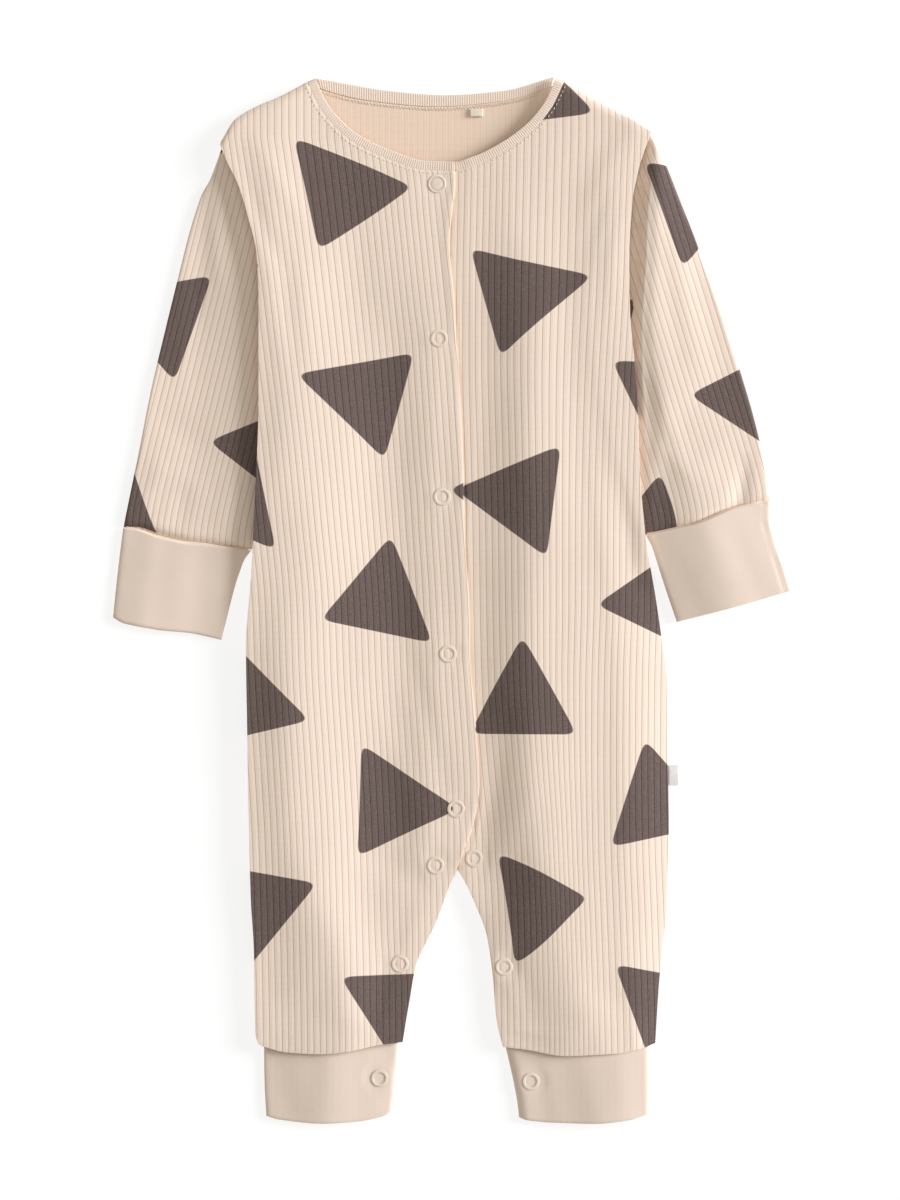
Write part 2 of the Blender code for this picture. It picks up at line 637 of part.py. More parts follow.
def edge_place_on(edge, row, share):
    """Where a tube's row meets its edge."""
    u = edge(row(0.0, share))
    for _ in range(ROUNDS):
        u = 0.5 * (u + edge(row(u, share)))
    return float(u)


def binding(name, inner, outer, heights, finish):
    """A narrow wall along a path: flat below, rounded above. Each station gives its two edges and z."""
    shell = Shell()
    tops, bottoms = [], []
    for (x0, y0), (x1, y1), (z_low, z_high) in zip(inner, outer, heights):
        def across(share, z):
            return (x0 + (x1 - x0) * share, y0 + (y1 - y0) * share, z)
        ends = [shell.point(s, across(s, 0.5 * (z_low + z_high))) for s in (0.0, 1.0)]
        shares = [share for share, _ in BINDING_CREST]
        tops.append(shell.chain(shares, [across(s, z_high - drop) for s, drop in BINDING_CREST], *ends))
        bottoms.append(shell.chain(BINDING_SOLE, [across(s, z_low) for s in BINDING_SOLE], *ends))
    shell.plate(tops, bottoms)
    return shell.build(name, finish)


def neck_path(x_from, x_to, count):
    """Even steps along the front neckline, with the direction that points into the neck hole."""
    xs = np.linspace(x_from, x_to, 400)
    reach = 0.3
    ys = np.array([float(front_neck(x)) for x in xs])
    lengths = np.concatenate(([0], np.cumsum(np.hypot(np.diff(xs), np.diff(ys)))))
    at = np.interp(np.linspace(0, lengths[-1], count), lengths, xs)
    path = []
    for x in at:
        slope = float(front_neck(x + reach) - front_neck(x - reach)) / (2 * reach)
        size = math.hypot(1, slope)
        path.append((float(x), float(front_neck(x)), -slope / size, 1 / size))
    return path


def front_binding(name, span, smooth_top, finish):
    """Binding of one front's neckline, standing a little proud of the panel."""
    path = neck_path(*span, BINDING_STATIONS)
    reach = SEAM_GAP + BINDING_WIDTH
    inner = [(x + nx * reach, y + ny * reach) for x, y, nx, ny in path]
    outer = [(x + nx * SEAM_GAP, y + ny * SEAM_GAP) for x, y, nx, ny in path]
    edge = [smooth_top(x, y) for x, y, _, _ in path]
    return binding(name, inner, outer, [(z - BINDING_DEEP, z + BINDING_PROUD) for z in edge], finish)


def back_binding(finish):
    """Binding of the back neckline, which rests on the surface."""
    xs = np.linspace(*BACK_BINDING, BINDING_STATIONS)
    inner = [(float(x), float(back_neck_top(x))) for x in xs]
    outer = [(float(x), float(back_neck(x)) + SEAM_GAP) for x in xs]
    return binding("neck_binding_back", inner, outer, [(0.0, BACK_BINDING_TOP)] * len(xs), finish)


def turned(name, profile, x, y, z, finish):
    """A solid turned about the vertical through (x, y): closed profile of (radius, height)."""
    shell = Shell()
    rings = []
    for radius, height in profile:
        if radius == 0:
            rings.append([shell.point(0, (x, y, z + height))[1]] * POPPER_SIDES)
            continue
        turn = [2 * math.pi * k / POPPER_SIDES for k in range(POPPER_SIDES)]
        places = [(x + radius * math.cos(a), y + radius * math.sin(a), z + height) for a in turn]
        rings.append([shell.point(0, place)[1] for place in places])
    closing = rings[0] if profile[0][0] else None
    pairs = list(zip(rings, rings[1:])) + ([(rings[-1], closing)] if closing else [])
    for inner, outer in pairs:
        for k in range(POPPER_SIDES):
            n = (k + 1) % POPPER_SIDES
            for face in ((inner[k], inner[n], outer[n]), (inner[k], outer[n], outer[k])):
                if len(set(face)) == 3:
                    shell.faces.append(face)
    return shell.build(name, finish)


def slab(name, low, high, finish):
    """A small flat label between two corners."""
    shell = Shell()
    xs = (low[0], high[0])
    rows = []
    for z in (high[2], low[2]):
        rows.append([shell.chain(xs, [(x, y, z) for x in xs]) for y in (low[1], high[1])])
    tops, bottoms = rows
    shell.plate(tops, bottoms)
    for k in (0, -1):
        corners = [tops[0][k][1], tops[1][k][1], bottoms[1][k][1], bottoms[0][k][1]]
        corners = corners[::-1] if k else corners
        shell.faces += [tuple(corners[:3]), (corners[0], corners[2], corners[3])]
    return shell.build(name, finish)


def make_finishes():
    """One Principled material for each kind of cloth and trim."""
    finishes = {}
    for name, (colour, roughness) in FINISHES.items():
        material = bpy.data.materials.new(name)
        material.use_nodes = True
        shader = material.node_tree.nodes["Principled BSDF"]
        shader.inputs["Base Color"].default_value = (*colour, 1.0)
        shader.inputs["Roughness"].default_value = roughness
        shader.inputs["Metallic"].default_value = 0.0
        finishes[name] = material
    return finishes


def hidden_placket_edge(y):
    """Free edge of the left front under the placket, down to the crotch, then its inside leg."""
    if y < CROTCH[1]:
        return float(left_inside_leg(y))
    return float(placket_edge(y)) - PLACKET_WIDTH * step((y - CROTCH[1]) / LAP_OPENING)


def right_front_edge(y):
    """Placket edge of the right front down to the crotch, then its inside leg."""
    return float(placket_edge(y) if y > CROTCH[1] else right_inside_leg(y))


def front_top_line(x):
    """Upper edge of a front: the shoulder line or the neckline, whichever is lower."""
    return min(float(shoulder(x)), float(front_neck(x))) if over_neck(x) else float(shoulder(x))


def lowered(table, gap=SEAM_GAP):
    """A curve of (x, y) rows moved down by a gap."""
    return [(x, y - gap) for x, y in table]


def raised(table):
    """A curve of (x, y) rows moved up by the seam gap."""
    return [(x, y + SEAM_GAP) for x, y in table]


def sleeves(finish):
    """Both sleeves: flattened ribbed tubes, open at the armhole under the body and at the wrist."""
    right_top = sleeve_top(right_side, -1, SLEEVE_CLIMB_RIGHT)
    left_top = sleeve_top(left_side, 1, SLEEVE_CLIMB_LEFT)
    pitch = RIB_PITCH / 2
    flat_tube("sleeve_right", SLEEVE_LEAN_RIGHT, (RIGHT_SLEEVE_OUTER, RIGHT_SLEEVE_INNER),
              (raised(RIGHT_CUFF_TOP), RIGHT_SLEEVE_TOP), right_top, pitch, SLEEVE_ROWS, finish, True)
    flat_tube("sleeve_left", SLEEVE_LEAN_LEFT, (LEFT_SLEEVE_INNER, LEFT_SLEEVE_OUTER),
              (raised(LEFT_CUFF_TOP), LEFT_SLEEVE_TOP), left_top, pitch, SLEEVE_ROWS, finish, True)


def cuffs(finish):
    """Wrist and ankle cuffs: flattened plain tubes, open at both ends."""
    wrist, ankle = cuff_top(WRIST_BASE, WRIST_RISE), cuff_top(ANKLE_BASE, ANKLE_RISE)
    pitch = PLAIN_PITCH / 2
    flat_tube("wrist_cuff_right", SLEEVE_LEAN_RIGHT, (RIGHT_CUFF_OUTER, RIGHT_CUFF_INNER),
              (RIGHT_CUFF_END, lowered(RIGHT_CUFF_TOP)), wrist, pitch, WRIST_ROWS, finish)
    flat_tube("wrist_cuff_left", SLEEVE_LEAN_LEFT, (LEFT_CUFF_INNER, LEFT_CUFF_OUTER),
              (LEFT_CUFF_END, lowered(LEFT_CUFF_TOP)), wrist, pitch, WRIST_ROWS, finish)
    flat_tube("ankle_cuff_right", 0.0, (RIGHT_ANKLE_OUTER, RIGHT_ANKLE_INNER),
              (RIGHT_ANKLE_END, lowered(RIGHT_HEM, HEM_GAP)), ankle, pitch, ANKLE_ROWS, finish)
    flat_tube("ankle_cuff_left", 0.0, (LEFT_ANKLE_INNER, LEFT_ANKLE_OUTER),
              (LEFT_ANKLE_END, lowered(LEFT_HEM, HEM_GAP)), ankle, pitch, ANKLE_ROWS, finish)


def poppers(finish):
    """Every popper, seated on the cloth that carries it."""
    tops = {"front_right": right_front_top, "front_left": left_front_top}
    for name, x, y, carrier in POPPERS:
        seat = tops[carrier](x, y) if carrier in tops else ANKLE_BASE + ANKLE_RISE
        profile = CAP_PROFILE if name == "popper_neck" else RING_PROFILE
        turned(name, profile, x, y, seat + SEAM_GAP, finish)


def main():
    for leftover in list(bpy.data.objects):
        bpy.data.objects.remove(leftover, do_unlink=True)
    finishes = make_finishes()
    rib, plain, fine = finishes["rib_jersey"], finishes["plain_jersey"], finishes["fine_rib"]

    back_panel(rib)
    front_panel("front_right", right_side, right_front_edge, front_top_line, right_front_top, rib)
    front_panel("front_left", hidden_placket_edge, left_side, front_top_line, left_front_top, rib)
    sleeves(rib)
    cuffs(plain)
    front_binding("neck_binding_right", RIGHT_BINDING, right_front_top, fine)
    front_binding("neck_binding_left", LEFT_BINDING, left_front_top, fine)
    back_binding(fine)
    poppers(finishes["popper_resin"])
    slab("side_label", *SIDE_LABEL, finishes["label_tape"])
    slab("size_tab", *SIZE_TAB, finishes["label_tape"])


if __name__ == "__main__":
    main()
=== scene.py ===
"""Footless rib-knit baby sleepsuit laid flat on its back: cloth, cuffs, bindings, poppers and labels.

Plan coordinates are millimetres: x runs to the wearer's left, y up to the neck and z away from the floor.
Right and left are the wearer's. Cloth is worked out as whole grids of points: a row of the grid runs
across a piece, and its columns are locked to the ribs, which lean and bend with the cloth.
"""
import math
from collections import namedtuple

import bmesh
import bpy
import numpy as np
from bpy.props import FloatProperty, FloatVectorProperty, PointerProperty
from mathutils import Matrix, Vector


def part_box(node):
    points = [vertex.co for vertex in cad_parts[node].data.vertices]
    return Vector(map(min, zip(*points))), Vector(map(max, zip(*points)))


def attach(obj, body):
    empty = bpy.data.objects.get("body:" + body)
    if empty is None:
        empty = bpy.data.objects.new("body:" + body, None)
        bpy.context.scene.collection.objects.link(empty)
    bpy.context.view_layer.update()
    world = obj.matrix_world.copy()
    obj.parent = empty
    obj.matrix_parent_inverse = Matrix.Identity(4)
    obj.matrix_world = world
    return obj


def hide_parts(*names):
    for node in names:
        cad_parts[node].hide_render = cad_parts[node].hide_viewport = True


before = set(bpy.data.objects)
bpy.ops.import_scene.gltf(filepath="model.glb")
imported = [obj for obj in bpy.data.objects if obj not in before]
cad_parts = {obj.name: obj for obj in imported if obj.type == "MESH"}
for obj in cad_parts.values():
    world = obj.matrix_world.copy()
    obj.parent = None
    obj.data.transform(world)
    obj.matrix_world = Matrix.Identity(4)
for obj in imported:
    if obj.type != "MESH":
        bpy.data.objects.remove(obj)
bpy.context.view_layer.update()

bl_info = {
    "name": "Ribbed baby sleepsuit",
    "version": (1, 0, 0),
    "blender": (4, 5, 0),
    "location": "3D View > Sidebar > Sleepsuit",
    "description": "Dresses the frame of a baby sleepsuit that lies flat on its back",
    "category": "Add Mesh"}

MM = 0.001
FINISHES = {}             # materials by name

# Cloth
WALL = 1.2                # rib jersey
BACK_WALL = 1.3
LAYER_GAP = 0.5           # between the back and the front where they lie closest
FRONT_FLOOR = BACK_WALL + LAYER_GAP + WALL     # top of the front there
SEAM_GAP = 0.3
HEM_GAP = 0.1
EDGE_ROUND = 0.35         # radius of a wall's edge
EDGE_OFFSETS = np.array([0.0, 0.04, 0.13, 0.35])
EDGE_DROP = 0.05          # the edge of a front lies this far under its top, and its underside rises to it
SKIRT, SKIRT_FADE = 1.3, 2.6   # the wall reaches down to the back this near to an edge, and not beyond that
LEG_SKIRT_START, LEG_SKIRT_FADE = 3.0, 6.0     # at the inside legs it starts above the crotch, over a length
PUFF = 0.6                # height of the lowest folds over the flat front
LEAST_PUFF = 0.3          # what creases leave of it at least
LEFT_ROLL, LEFT_ROLL_WIDTH = 1.2, 14.0     # how the front rolls down to the left side
RIB_COLUMNS = np.array([-0.5, -0.4, -0.24, 0.0, 0.24, 0.4])   # places across one rib, grooves at -0.5 and 0.5
BACK_RIB_COLUMNS = np.array([-0.5, -0.36, 0.0, 0.36])
GROOVE_WIDTH = 0.36
GROOVE_SHARE = 0.95       # how much of a rib's height is a flat cut by grooves; the rest is a crown
RIB_FADE = 1.6            # the ribs rise to their height over this distance from an edge
ROW_STEP, BACK_ROW_STEP = 3.0, 3.5
ROW_INSET = 1.6           # from a hem or neck to the nearest even row
CROTCH_ROWS = 1e-4        # rows this close above and below the crotch make a sharp fork
CROTCH_CLEAR = 0.4        # even rows keep off it by this share of their step
MERGE = 2e-6              # points of a mesh closer than this become one, in metres
BACK_INSET = 0.4          # the back's outline lies this far inside the front's
BACK_INNER_RIBS = 0.2     # the ribs show this much on the inside of the back

# The sleeves under the body's sides lift it whole over their inner folds, and from there a ramp falls inwards
LIFT_RAMP = 22.0
LIFT_LOW, LIFT_HIGH = -20.0, 30.0
SLEEVE_LIFT = 3.4
LIFT_SOFTENING = 1.4      # rounds the change from puffed to lifted cloth, in square millimetres

# Placket
PLACKET_WIDTH = 20.0
LAYER_STEP = 1.6          # from the top of the left front up to that of the right one
OVERLAP_FADE, OVERLAP_SPARE = 12.0, 2.0    # the layers part over a length, from a spare beyond the placket
PLACKET_END = 25.0        # length over which the hidden edge runs in to the crotch
CONTACT = 0.28            # the turned edge presses a fine trough into the front beside it
CONTACT_AT, CONTACT_WIDTH, CONTACT_FADE = 0.2, 0.9, 6.0
CROTCH = (3.2, -143.4)
TURNED_EDGE, TURNED_RISE = 3.4, 0.07       # the turned edge of the placket is plain, and a little thicker
TURNED_END = 14.0         # it runs out over this length above the crotch
LEG_START_SLOPE = 2.0     # below the crotch the left front's folds start on a line that leans off its leg

# Zones of the body's rows: straight between these heights, curved to the hem or the neck beyond them
LEG_ZONE, NECK_ZONE = -205.0, 150.0
HEM_NOMINAL, NECK_NOMINAL = -238.0, 250.0
NECK_SPAN = (-77.0, 60.5)              # the neckline lies between these x

# Outline of the body. Columns: y, x
RIGHT_SIDE = [
    (240, -122.4), (231, -118.6), (220, -113.2), (203, -107.9), (183, -103.3), (161, -102.2), (105, -102.2),
    (52, -104.1), (14, -106.0), (-26, -108.8), (-68, -108.2), (-118, -107.3), (-159, -106.3), (-184, -104.8),
    (-230, -103.9), (-234, -103.0), (-242, -99.6)]
LEFT_SIDE = [
    (248, 106.0), (229, 99.4), (210, 95.7), (181, 94.1), (151, 94.6), (128, 96.7), (98, 98.8), (75, 99.4),
    (35, 102.6), (0, 108.4), (-22, 111.6), (-44, 114.4), (-84, 114.7), (-122, 115.2), (-159, 114.2),
    (-204, 110.0), (-242, 107.6)]
RIGHT_INSIDE_LEG = [
    (-143.4, 3.2), (-153, -1.3), (-170, -7.7), (-194, -18.3), (-214, -22.5), (-234, -25.8), (-242, -27.0)]
LEFT_INSIDE_LEG = [
    (-143.4, 3.2), (-152, 8.2), (-160, 11.9), (-178, 18.6), (-201, 22.0), (-221, 23.6), (-242, 28.4)]
PLACKET_EDGE = [
    (232, 1.9), (220, 1.9), (205, 0.3), (190, -1.2), (179, -0.6), (159, 1.3), (105, 4.5), (60, 6.5),
    (30, 7.0), (0, 9.2), (-32, 9.9), (-68, 13.0), (-100, 14.8), (-114, 13.0), (-124, 10.3), (-131, 7.2),
    (-143.4, 3.2)]
# Columns: x, y
RIGHT_SHOULDER = [(-122.4, 242.0), (-114.7, 254.1), (-101, 262.3), (-92, 266.0), (-71.8, 277.0)]
LEFT_SHOULDER = [(54.9, 277.2), (75.5, 265.5), (91.4, 256.8), (106.0, 247.6)]
FRONT_NECK = [
    (-76.8, 275.5), (-71, 262.5), (-65.5, 254.7), (-52.2, 242.5), (-32.1, 232.9), (-15.1, 227.7),
    (0.8, 227.1), (14, 230.8), (27.3, 237.2), (43.2, 248.8), (53, 260.6), (60.2, 275.5)]
BACK_NECK = [(-76.8, 277), (-70, 271.5), (-40, 264.4), (-8, 261.8), (25, 264.4), (52, 272), (60.2, 278)]
BACK_NECK_TOP = [(-71.8, 276.9), (-31, 269.9), (-3, 267.9), (28, 270.2), (54.9, 278)]
RIGHT_HEM = [
    (-104, -234.6), (-99, -237.2), (-86, -240.2), (-70, -240.9), (-54, -239.3), (-40, -236.3), (-26, -234.4)]
LEFT_HEM = [
    (26, -237.2), (40, -238.8), (60, -241.9), (73, -241.4), (89, -240.4), (100, -238.2), (108, -235.2)]

# How the ribs lean. Columns: y, sideways shift near the side, sideways shift near the placket
RIGHT_LEAN = [
    (245, -29.5, -21.0), (212, -24.4, -17.5), (169, -18.5, -13.0), (127, -13.5, -8.7), (84, -8.2, -5.7),
    (42, -4.0, -2.7), (0, 0.0, 0.0), (-43, 1.6, 1.8), (-85, 4.3, 4.5), (-127, 6.7, 6.3), (-170, 8.0, 7.4),
    (-212, 8.8, 8.6), (-242, 9.2, 9.0)]
LEFT_LEAN = [
    (245, 8.2, -1.0), (212, 6.9, -1.6), (169, 5.6, -2.4), (127, 3.2, -2.6), (84, 1.3, -1.6),
    (42, 0.3, -0.5), (0, 0.0, 0.0), (-43, -1.3, 1.0), (-85, -1.6, 4.0), (-127, -1.2, 8.0),
    (-170, 0.4, 10.0), (-212, 1.9, 11.0), (-242, 2.6, 11.4)]
RIGHT_LEAN_SPAN = (-78.0, -15.0)      # rib places where the two columns of the table hold
LEFT_LEAN_SPAN = (82.0, 28.0)

# Outline of the sleeves. Columns: x, y, from the shoulder to the cuff
RIGHT_SLEEVE_OUTER = [
    (-122.2, 239), (-128, 223.4), (-133.3, 213.3), (-140.7, 189), (-157.4, 120.6), (-166.7, 75),
    (-174.2, 38.4)]
RIGHT_SLEEVE_INNER = [
    (-115.8, 239), (-105.7, 222.3), (-97.3, 204), (-88.2, 183), (-82.4, 161), (-82.4, 136), (-85.6, 105),
    (-92.5, 75), (-98.3, 52), (-105.7, 27.5)]
RIGHT_CUFF_TOP = [
    (-174.2, 38.3), (-166.7, 37.9), (-155.6, 34.2), (-144.4, 31.5), (-130.6, 29.9), (-116.3, 27.8),
    (-105.7, 26.4)]
LEFT_SLEEVE_OUTER = [
    (105.7, 246.5), (111.6, 235.6), (121.1, 211.7), (130.1, 188.9), (145, 147.6), (157.1, 108.4),
    (165.1, 77.6), (169, 52.2)]
LEFT_SLEEVE_INNER = [
    (98.5, 246), (91.5, 222), (83, 200), (77.5, 181), (75, 155), (76, 130), (81, 105), (88, 80), (95.5, 57),
    (102.6, 34.2)]
LEFT_CUFF_TOP = [(102.6, 34.2), (112.6, 36.8), (131.2, 41.1), (148.1, 48.0), (168.9, 52.4)]
# Outline of the cuffs. Columns: x, y, from the top edge to the bottom edge
RIGHT_CUFF_OUTER = [(-174.3, 38.5), (-177.3, 14), (-179.9, -10.9)]
RIGHT_CUFF_INNER = [(-105.9, 26.6), (-110.5, 19.9), (-116.3, 2), (-122.2, -21.5)]
RIGHT_CUFF_END = [(-179.9, -9.6), (-174, -12.8), (-156.1, -16.2), (-135.9, -18.4), (-122.2, -21.5)]
LEFT_CUFF_OUTER = [(169, 52.6), (169.4, 39), (172, 29.4), (176.2, 17.8), (179.9, 5.6)]
LEFT_CUFF_INNER = [(103.3, 34), (106.8, 26.8), (112.6, 8.7), (119.6, -12)]
LEFT_CUFF_END = [(119.6, -12), (150.3, -4.0), (179.9, 4.6)]
RIGHT_ANKLE_OUTER = [(-99.6, -236), (-99.3, -256), (-98.3, -275)]
RIGHT_ANKLE_INNER = [(-27.4, -233), (-29.6, -255), (-31.5, -272)]
RIGHT_ANKLE_END = [
    (-98.3, -274.3), (-90.9, -276.2), (-69.7, -278), (-51.1, -277), (-36, -274.2), (-31.5, -271.6)]
LEFT_ANKLE_OUTER = [(104.9, -235), (105.2, -256), (105, -273)]
LEFT_ANKLE_INNER = [(28.6, -237), (33.1, -257), (35.2, -269), (35.9, -276)]
LEFT_ANKLE_END = [(35.9, -275), (40, -276.4), (54.3, -277.6), (74.5, -278), (94.6, -276), (105, -272.6)]
# Free edges of the turned-back wrist cuffs, which stand open in places. Columns: x, y
RIGHT_FREE_EDGE = [
    (-174.2, 37.9), (-166.7, 37.0), (-155.6, 33.2), (-144.4, 30.4), (-130.6, 28.8), (-116.3, 27.0),
    (-105.7, 26.0)]
LEFT_FREE_EDGE = [(102.6, 33.9), (112.6, 36.1), (131.2, 40.5), (148.1, 47.5), (168.9, 52.1)]
SLEEVE_LEAN_RIGHT, SLEEVE_LEAN_LEFT = math.radians(14.0), math.radians(-17.3)

# Long fold lines of the fronts: each row gives, at a height y, how far every line stands above the lowest
# front. Right front. Columns: y, side z, ridge x, ridge z, valley x, valley z, popper line x, its z, edge z
RIGHT_FOLD_LINES = [
    (245, 3.4, -98, 3.6, -60, 2.5, -14, 2.5, 2.8), (205, 4.4, -94, 4.4, -48, 2.9, -8, 3.1, 3.4),
    (160, 4.6, -86, 4.8, -42, 2.4, -5, 3.3, 3.6), (130, 4.6, -88, 5.0, -33, 1.9, -4, 3.1, 3.3),
    (80, 4.5, -88, 5.2, -31, 1.4, -7, 2.8, 3.2), (25, 4.2, -82, 5.0, -29, 1.2, -6, 2.5, 2.9),
    (-26, 3.8, -86, 5.0, -29, 1.1, -5, 2.6, 3.0), (-79, 3.4, -84, 4.7, -30, 1.0, -5, 2.5, 2.8),
    (-132, 3.2, -82, 4.8, -31, 1.0, -8, 1.9, 2.2), (-159, 2.6, -74, 4.4, -36, 1.2, -14, 1.4, 1.3),
    (-185, 2.0, -64, 4.4, -34, 1.6, -20, 1.5, 1.5), (-238, 1.4, -56, 3.9, -38, 2.9, -31, 2.7, 2.6)]
# Left front. Columns: y, trough x, trough z, ridge x, ridge z, terrace x, terrace z, side z
LEFT_FOLD_LINES = [
    (245, 12, 1.8, 40, 2.5, 72, 2.4, 2.5), (205, 11, 2.1, 36, 2.9, 68, 2.4, 3.1),
    (160, 12, 2.3, 44, 3.6, 66, 2.8, 2.8), (130, 15, 2.1, 44, 4.1, 66, 3.1, 2.7),
    (80, 13, 1.9, 42, 4.8, 70, 3.4, 2.3), (25, 8, 1.4, 44, 4.8, 78, 3.4, 1.6),
    (-26, 10, 1.4, 44, 5.1, 84, 3.8, 1.8), (-79, 14, 1.4, 44, 5.2, 86, 3.8, 1.8),
    (-132, 14, 1.2, 47, 5.3, 88, 4.0, 1.9), (-159, 8, 0.4, 53, 4.6, 88, 3.6, 1.8),
    (-185, 2, -0.6, 58, 4.1, 88, 3.4, 1.6), (-238, 4, -0.4, 78, 3.6, 96, 2.9, 1.6)]
TOP_ROUND = 4.0           # the front falls to its upper edge as a quarter circle of this radius
SHOULDER_EASE, NECK_EASE = 1.0, 4.0    # which would end this far beyond the shoulder and the neck
# Gentle unevenness. Columns: wave length across, wave length along, where it starts, height
RIPPLES = [(61, 240, 0.0, 0.08), (37, -170, 1.3, 0.05), (23, 310, 2.1, 0.02)]
CREASE_BEND = 0.12        # how far a crease bows aside, as a share of its length
CREASE_SHARE = 0.86       # a crease keeps this much of a half wave from end to end
# Short creases. Columns: x and y of one end, x and y of the other, half width, height
RIGHT_CREASES = [
    (-112, 238, -90, 176, 5.0, -0.5), (-106, 250, -76, 196, 6.0, 0.35), (-98, 214, -90, 128, 6.0, 0.4),
    (-86, 190, -80, 110, 6.0, -0.35), (-4, -112, -22, -30, 5.5, -0.4), (-14, -128, -40, -60, 7.0, 0.25),
    (-12, -152, -50, -134, 8.0, -0.4), (-14, -160, -30, -206, 6.0, 0.4), (-24, -176, -40, -224, 6.0, -0.4),
    (-92, -222, -62, -206, 8.0, -0.3), (-30, -232, -70, -214, 7.0, 0.3)]
LEFT_CREASES = [
    (100, 240, 82, 186, 5.0, -0.5), (96, 250, 70, 200, 6.0, 0.35), (90, 222, 86, 150, 5.0, 0.4),
    (80, 214, 76, 140, 6.0, -0.4), (12, -140, 30, -60, 6.0, -0.5), (16, -150, 44, -96, 7.0, 0.35),
    (16, -156, 50, -146, 8.0, -0.4), (22, -164, 36, -218, 6.0, 0.2), (34, -180, 46, -228, 6.0, -0.25),
    (100, -220, 70, -204, 8.0, -0.3), (32, -234, 66, -220, 6.0, -0.3),
    (28, -227, 62, -231, 1.8, 0.4), (28, -231, 58, -235, 1.6, -0.35)]
SLEEVE_RIGHT_CREASES = [
    (-119, 232, -111, 170, 4.0, -0.5), (-125, 228, -121, 160, 4.5, 0.45), (-130, 216, -134, 140, 6.0, -0.4),
    (-136, 200, -146, 120, 7.0, 0.35), (-158, 100, -124, 76, 8.0, -0.35), (-164, 76, -130, 56, 7.0, 0.3),
    (-166, 46, -154, 72, 5.0, 0.35), (-146, 36, -142, 64, 5.0, -0.3), (-124, 34, -118, 66, 5.0, 0.3)]
SLEEVE_LEFT_CREASES = [
    (112, 222, 122, 120, 6.0, -0.4), (120, 212, 136, 110, 7.0, 0.35), (102, 124, 118, 70, 6.0, -0.5),
    (110, 118, 126, 60, 5.0, 0.4), (148, 120, 118, 92, 8.0, -0.35), (158, 92, 126, 66, 7.0, 0.35),
    (148, 34, 156, 74, 4.5, -0.9), (162, 40, 160, 76, 5.0, 0.4), (106, 54, 108, 106, 5.5, 0.7)]

# Poppers: what carries each one
CARRIERS = {
    "popper_neck": "front_right", "popper_front_1": "front_right", "popper_front_2": "front_right",
    "popper_front_3": "front_right", "popper_front_4": "front_right", "popper_crotch_right": "front_right",
    "popper_leg_right": "front_right", "popper_crotch_left": "front_left", "popper_leg_left": "front_left",
    "popper_ankle_right": "ankle_cuff_right", "popper_ankle_left": "ankle_cuff_left"}
PRESSED_FLAT, PRESSED_FADE = 5.2, 10.0     # the cloth is flat to one distance, and folded again at the other
RIBS_NEARER = 2.0         # its ribs start this much nearer to the popper
POPPER_PULL, POPPER_PULL_REACH = 0.11, 11.0
DOME, DOME_RADIUS = 0.3, 2.7          # the cloth swells inside a ring popper
POPPER_GAP = 0.02
SEATS = {}                # height of the cloth under each popper


# ---- settings ------------------------------------------------------------------------------------

class SleepsuitCloth(bpy.types.PropertyGroup):
    """Sizes of the cloth."""
    rib_pitch: FloatProperty(
        name="Rib pitch", description="From one rib to the next", default=0.00335, unit="LENGTH")
    rib_raise: FloatProperty(
        name="Rib height", description="Crest of a rib above its groove", default=0.00008, unit="LENGTH")
    fine_rib_pitch: FloatProperty(
        name="Binding rib pitch", description="From one rib of the neck binding to the next", default=0.00125,
        unit="LENGTH")
    motif_size: FloatProperty(
        name="Motif size", description="Height of a printed triangle", default=0.052, unit="LENGTH")
    motif_across: FloatProperty(
        name="Motif spacing across", description="From one column of triangles to the next", default=0.074,
        unit="LENGTH")
    motif_along: FloatProperty(
        name="Motif spacing along", description="From one triangle to the next down a column", default=0.108,
        unit="LENGTH")


class SleepsuitColours(bpy.types.PropertyGroup):
    """Colours of the cloth and the trims."""
    cream: FloatVectorProperty(
        name="Cream", description="Ground of the rib jersey", default=(0.86, 0.715, 0.60), subtype="COLOR")
    inside: FloatVectorProperty(
        name="Inside", description="Wrong side of the rib jersey", default=(0.84, 0.66, 0.52),
        subtype="COLOR")
    plain: FloatVectorProperty(
        name="Plain jersey", description="Wrist and ankle cuffs", default=(0.80, 0.66, 0.55), subtype="COLOR")
    taupe: FloatVectorProperty(
        name="Print", description="Printed triangles", default=(0.150, 0.108, 0.096), subtype="COLOR")
    resin: FloatVectorProperty(
        name="Poppers", description="Coloured resin of the poppers", default=(0.80, 0.675, 0.56),
        subtype="COLOR")
    label: FloatVectorProperty(
        name="Side label", description="Woven side label", default=(0.85, 0.84, 0.82), subtype="COLOR")
    tab: FloatVectorProperty(
        name="Size tab", description="Small tab inside the neck", default=(0.84, 0.74, 0.62), subtype="COLOR")


class SleepsuitStage(bpy.types.PropertyGroup):
    """Camera, lights and floor."""
    lens: FloatProperty(name="Lens", description="Focal length in millimetres", default=100.0)
    key: FloatProperty(name="Key light", description="Strength of the light from the right", default=5.35)
    fill: FloatProperty(
        name="Fill light", description="Power of the broad light overhead", default=3.0, unit="POWER")
    sky: FloatProperty(name="Room light", description="Strength of the even light all round", default=0.46)
    floor: FloatVectorProperty(
        name="Floor", description="Pale floor", default=(0.24, 0.24, 0.24), subtype="COLOR")
    floor_glow: FloatProperty(
        name="Floor glow", description="Even light of the floor, like a light box", default=0.79)


def millimetres(size):
    """A length of the settings in millimetres."""
    return size / MM


# ---- curves and heights --------------------------------------------------------------------------

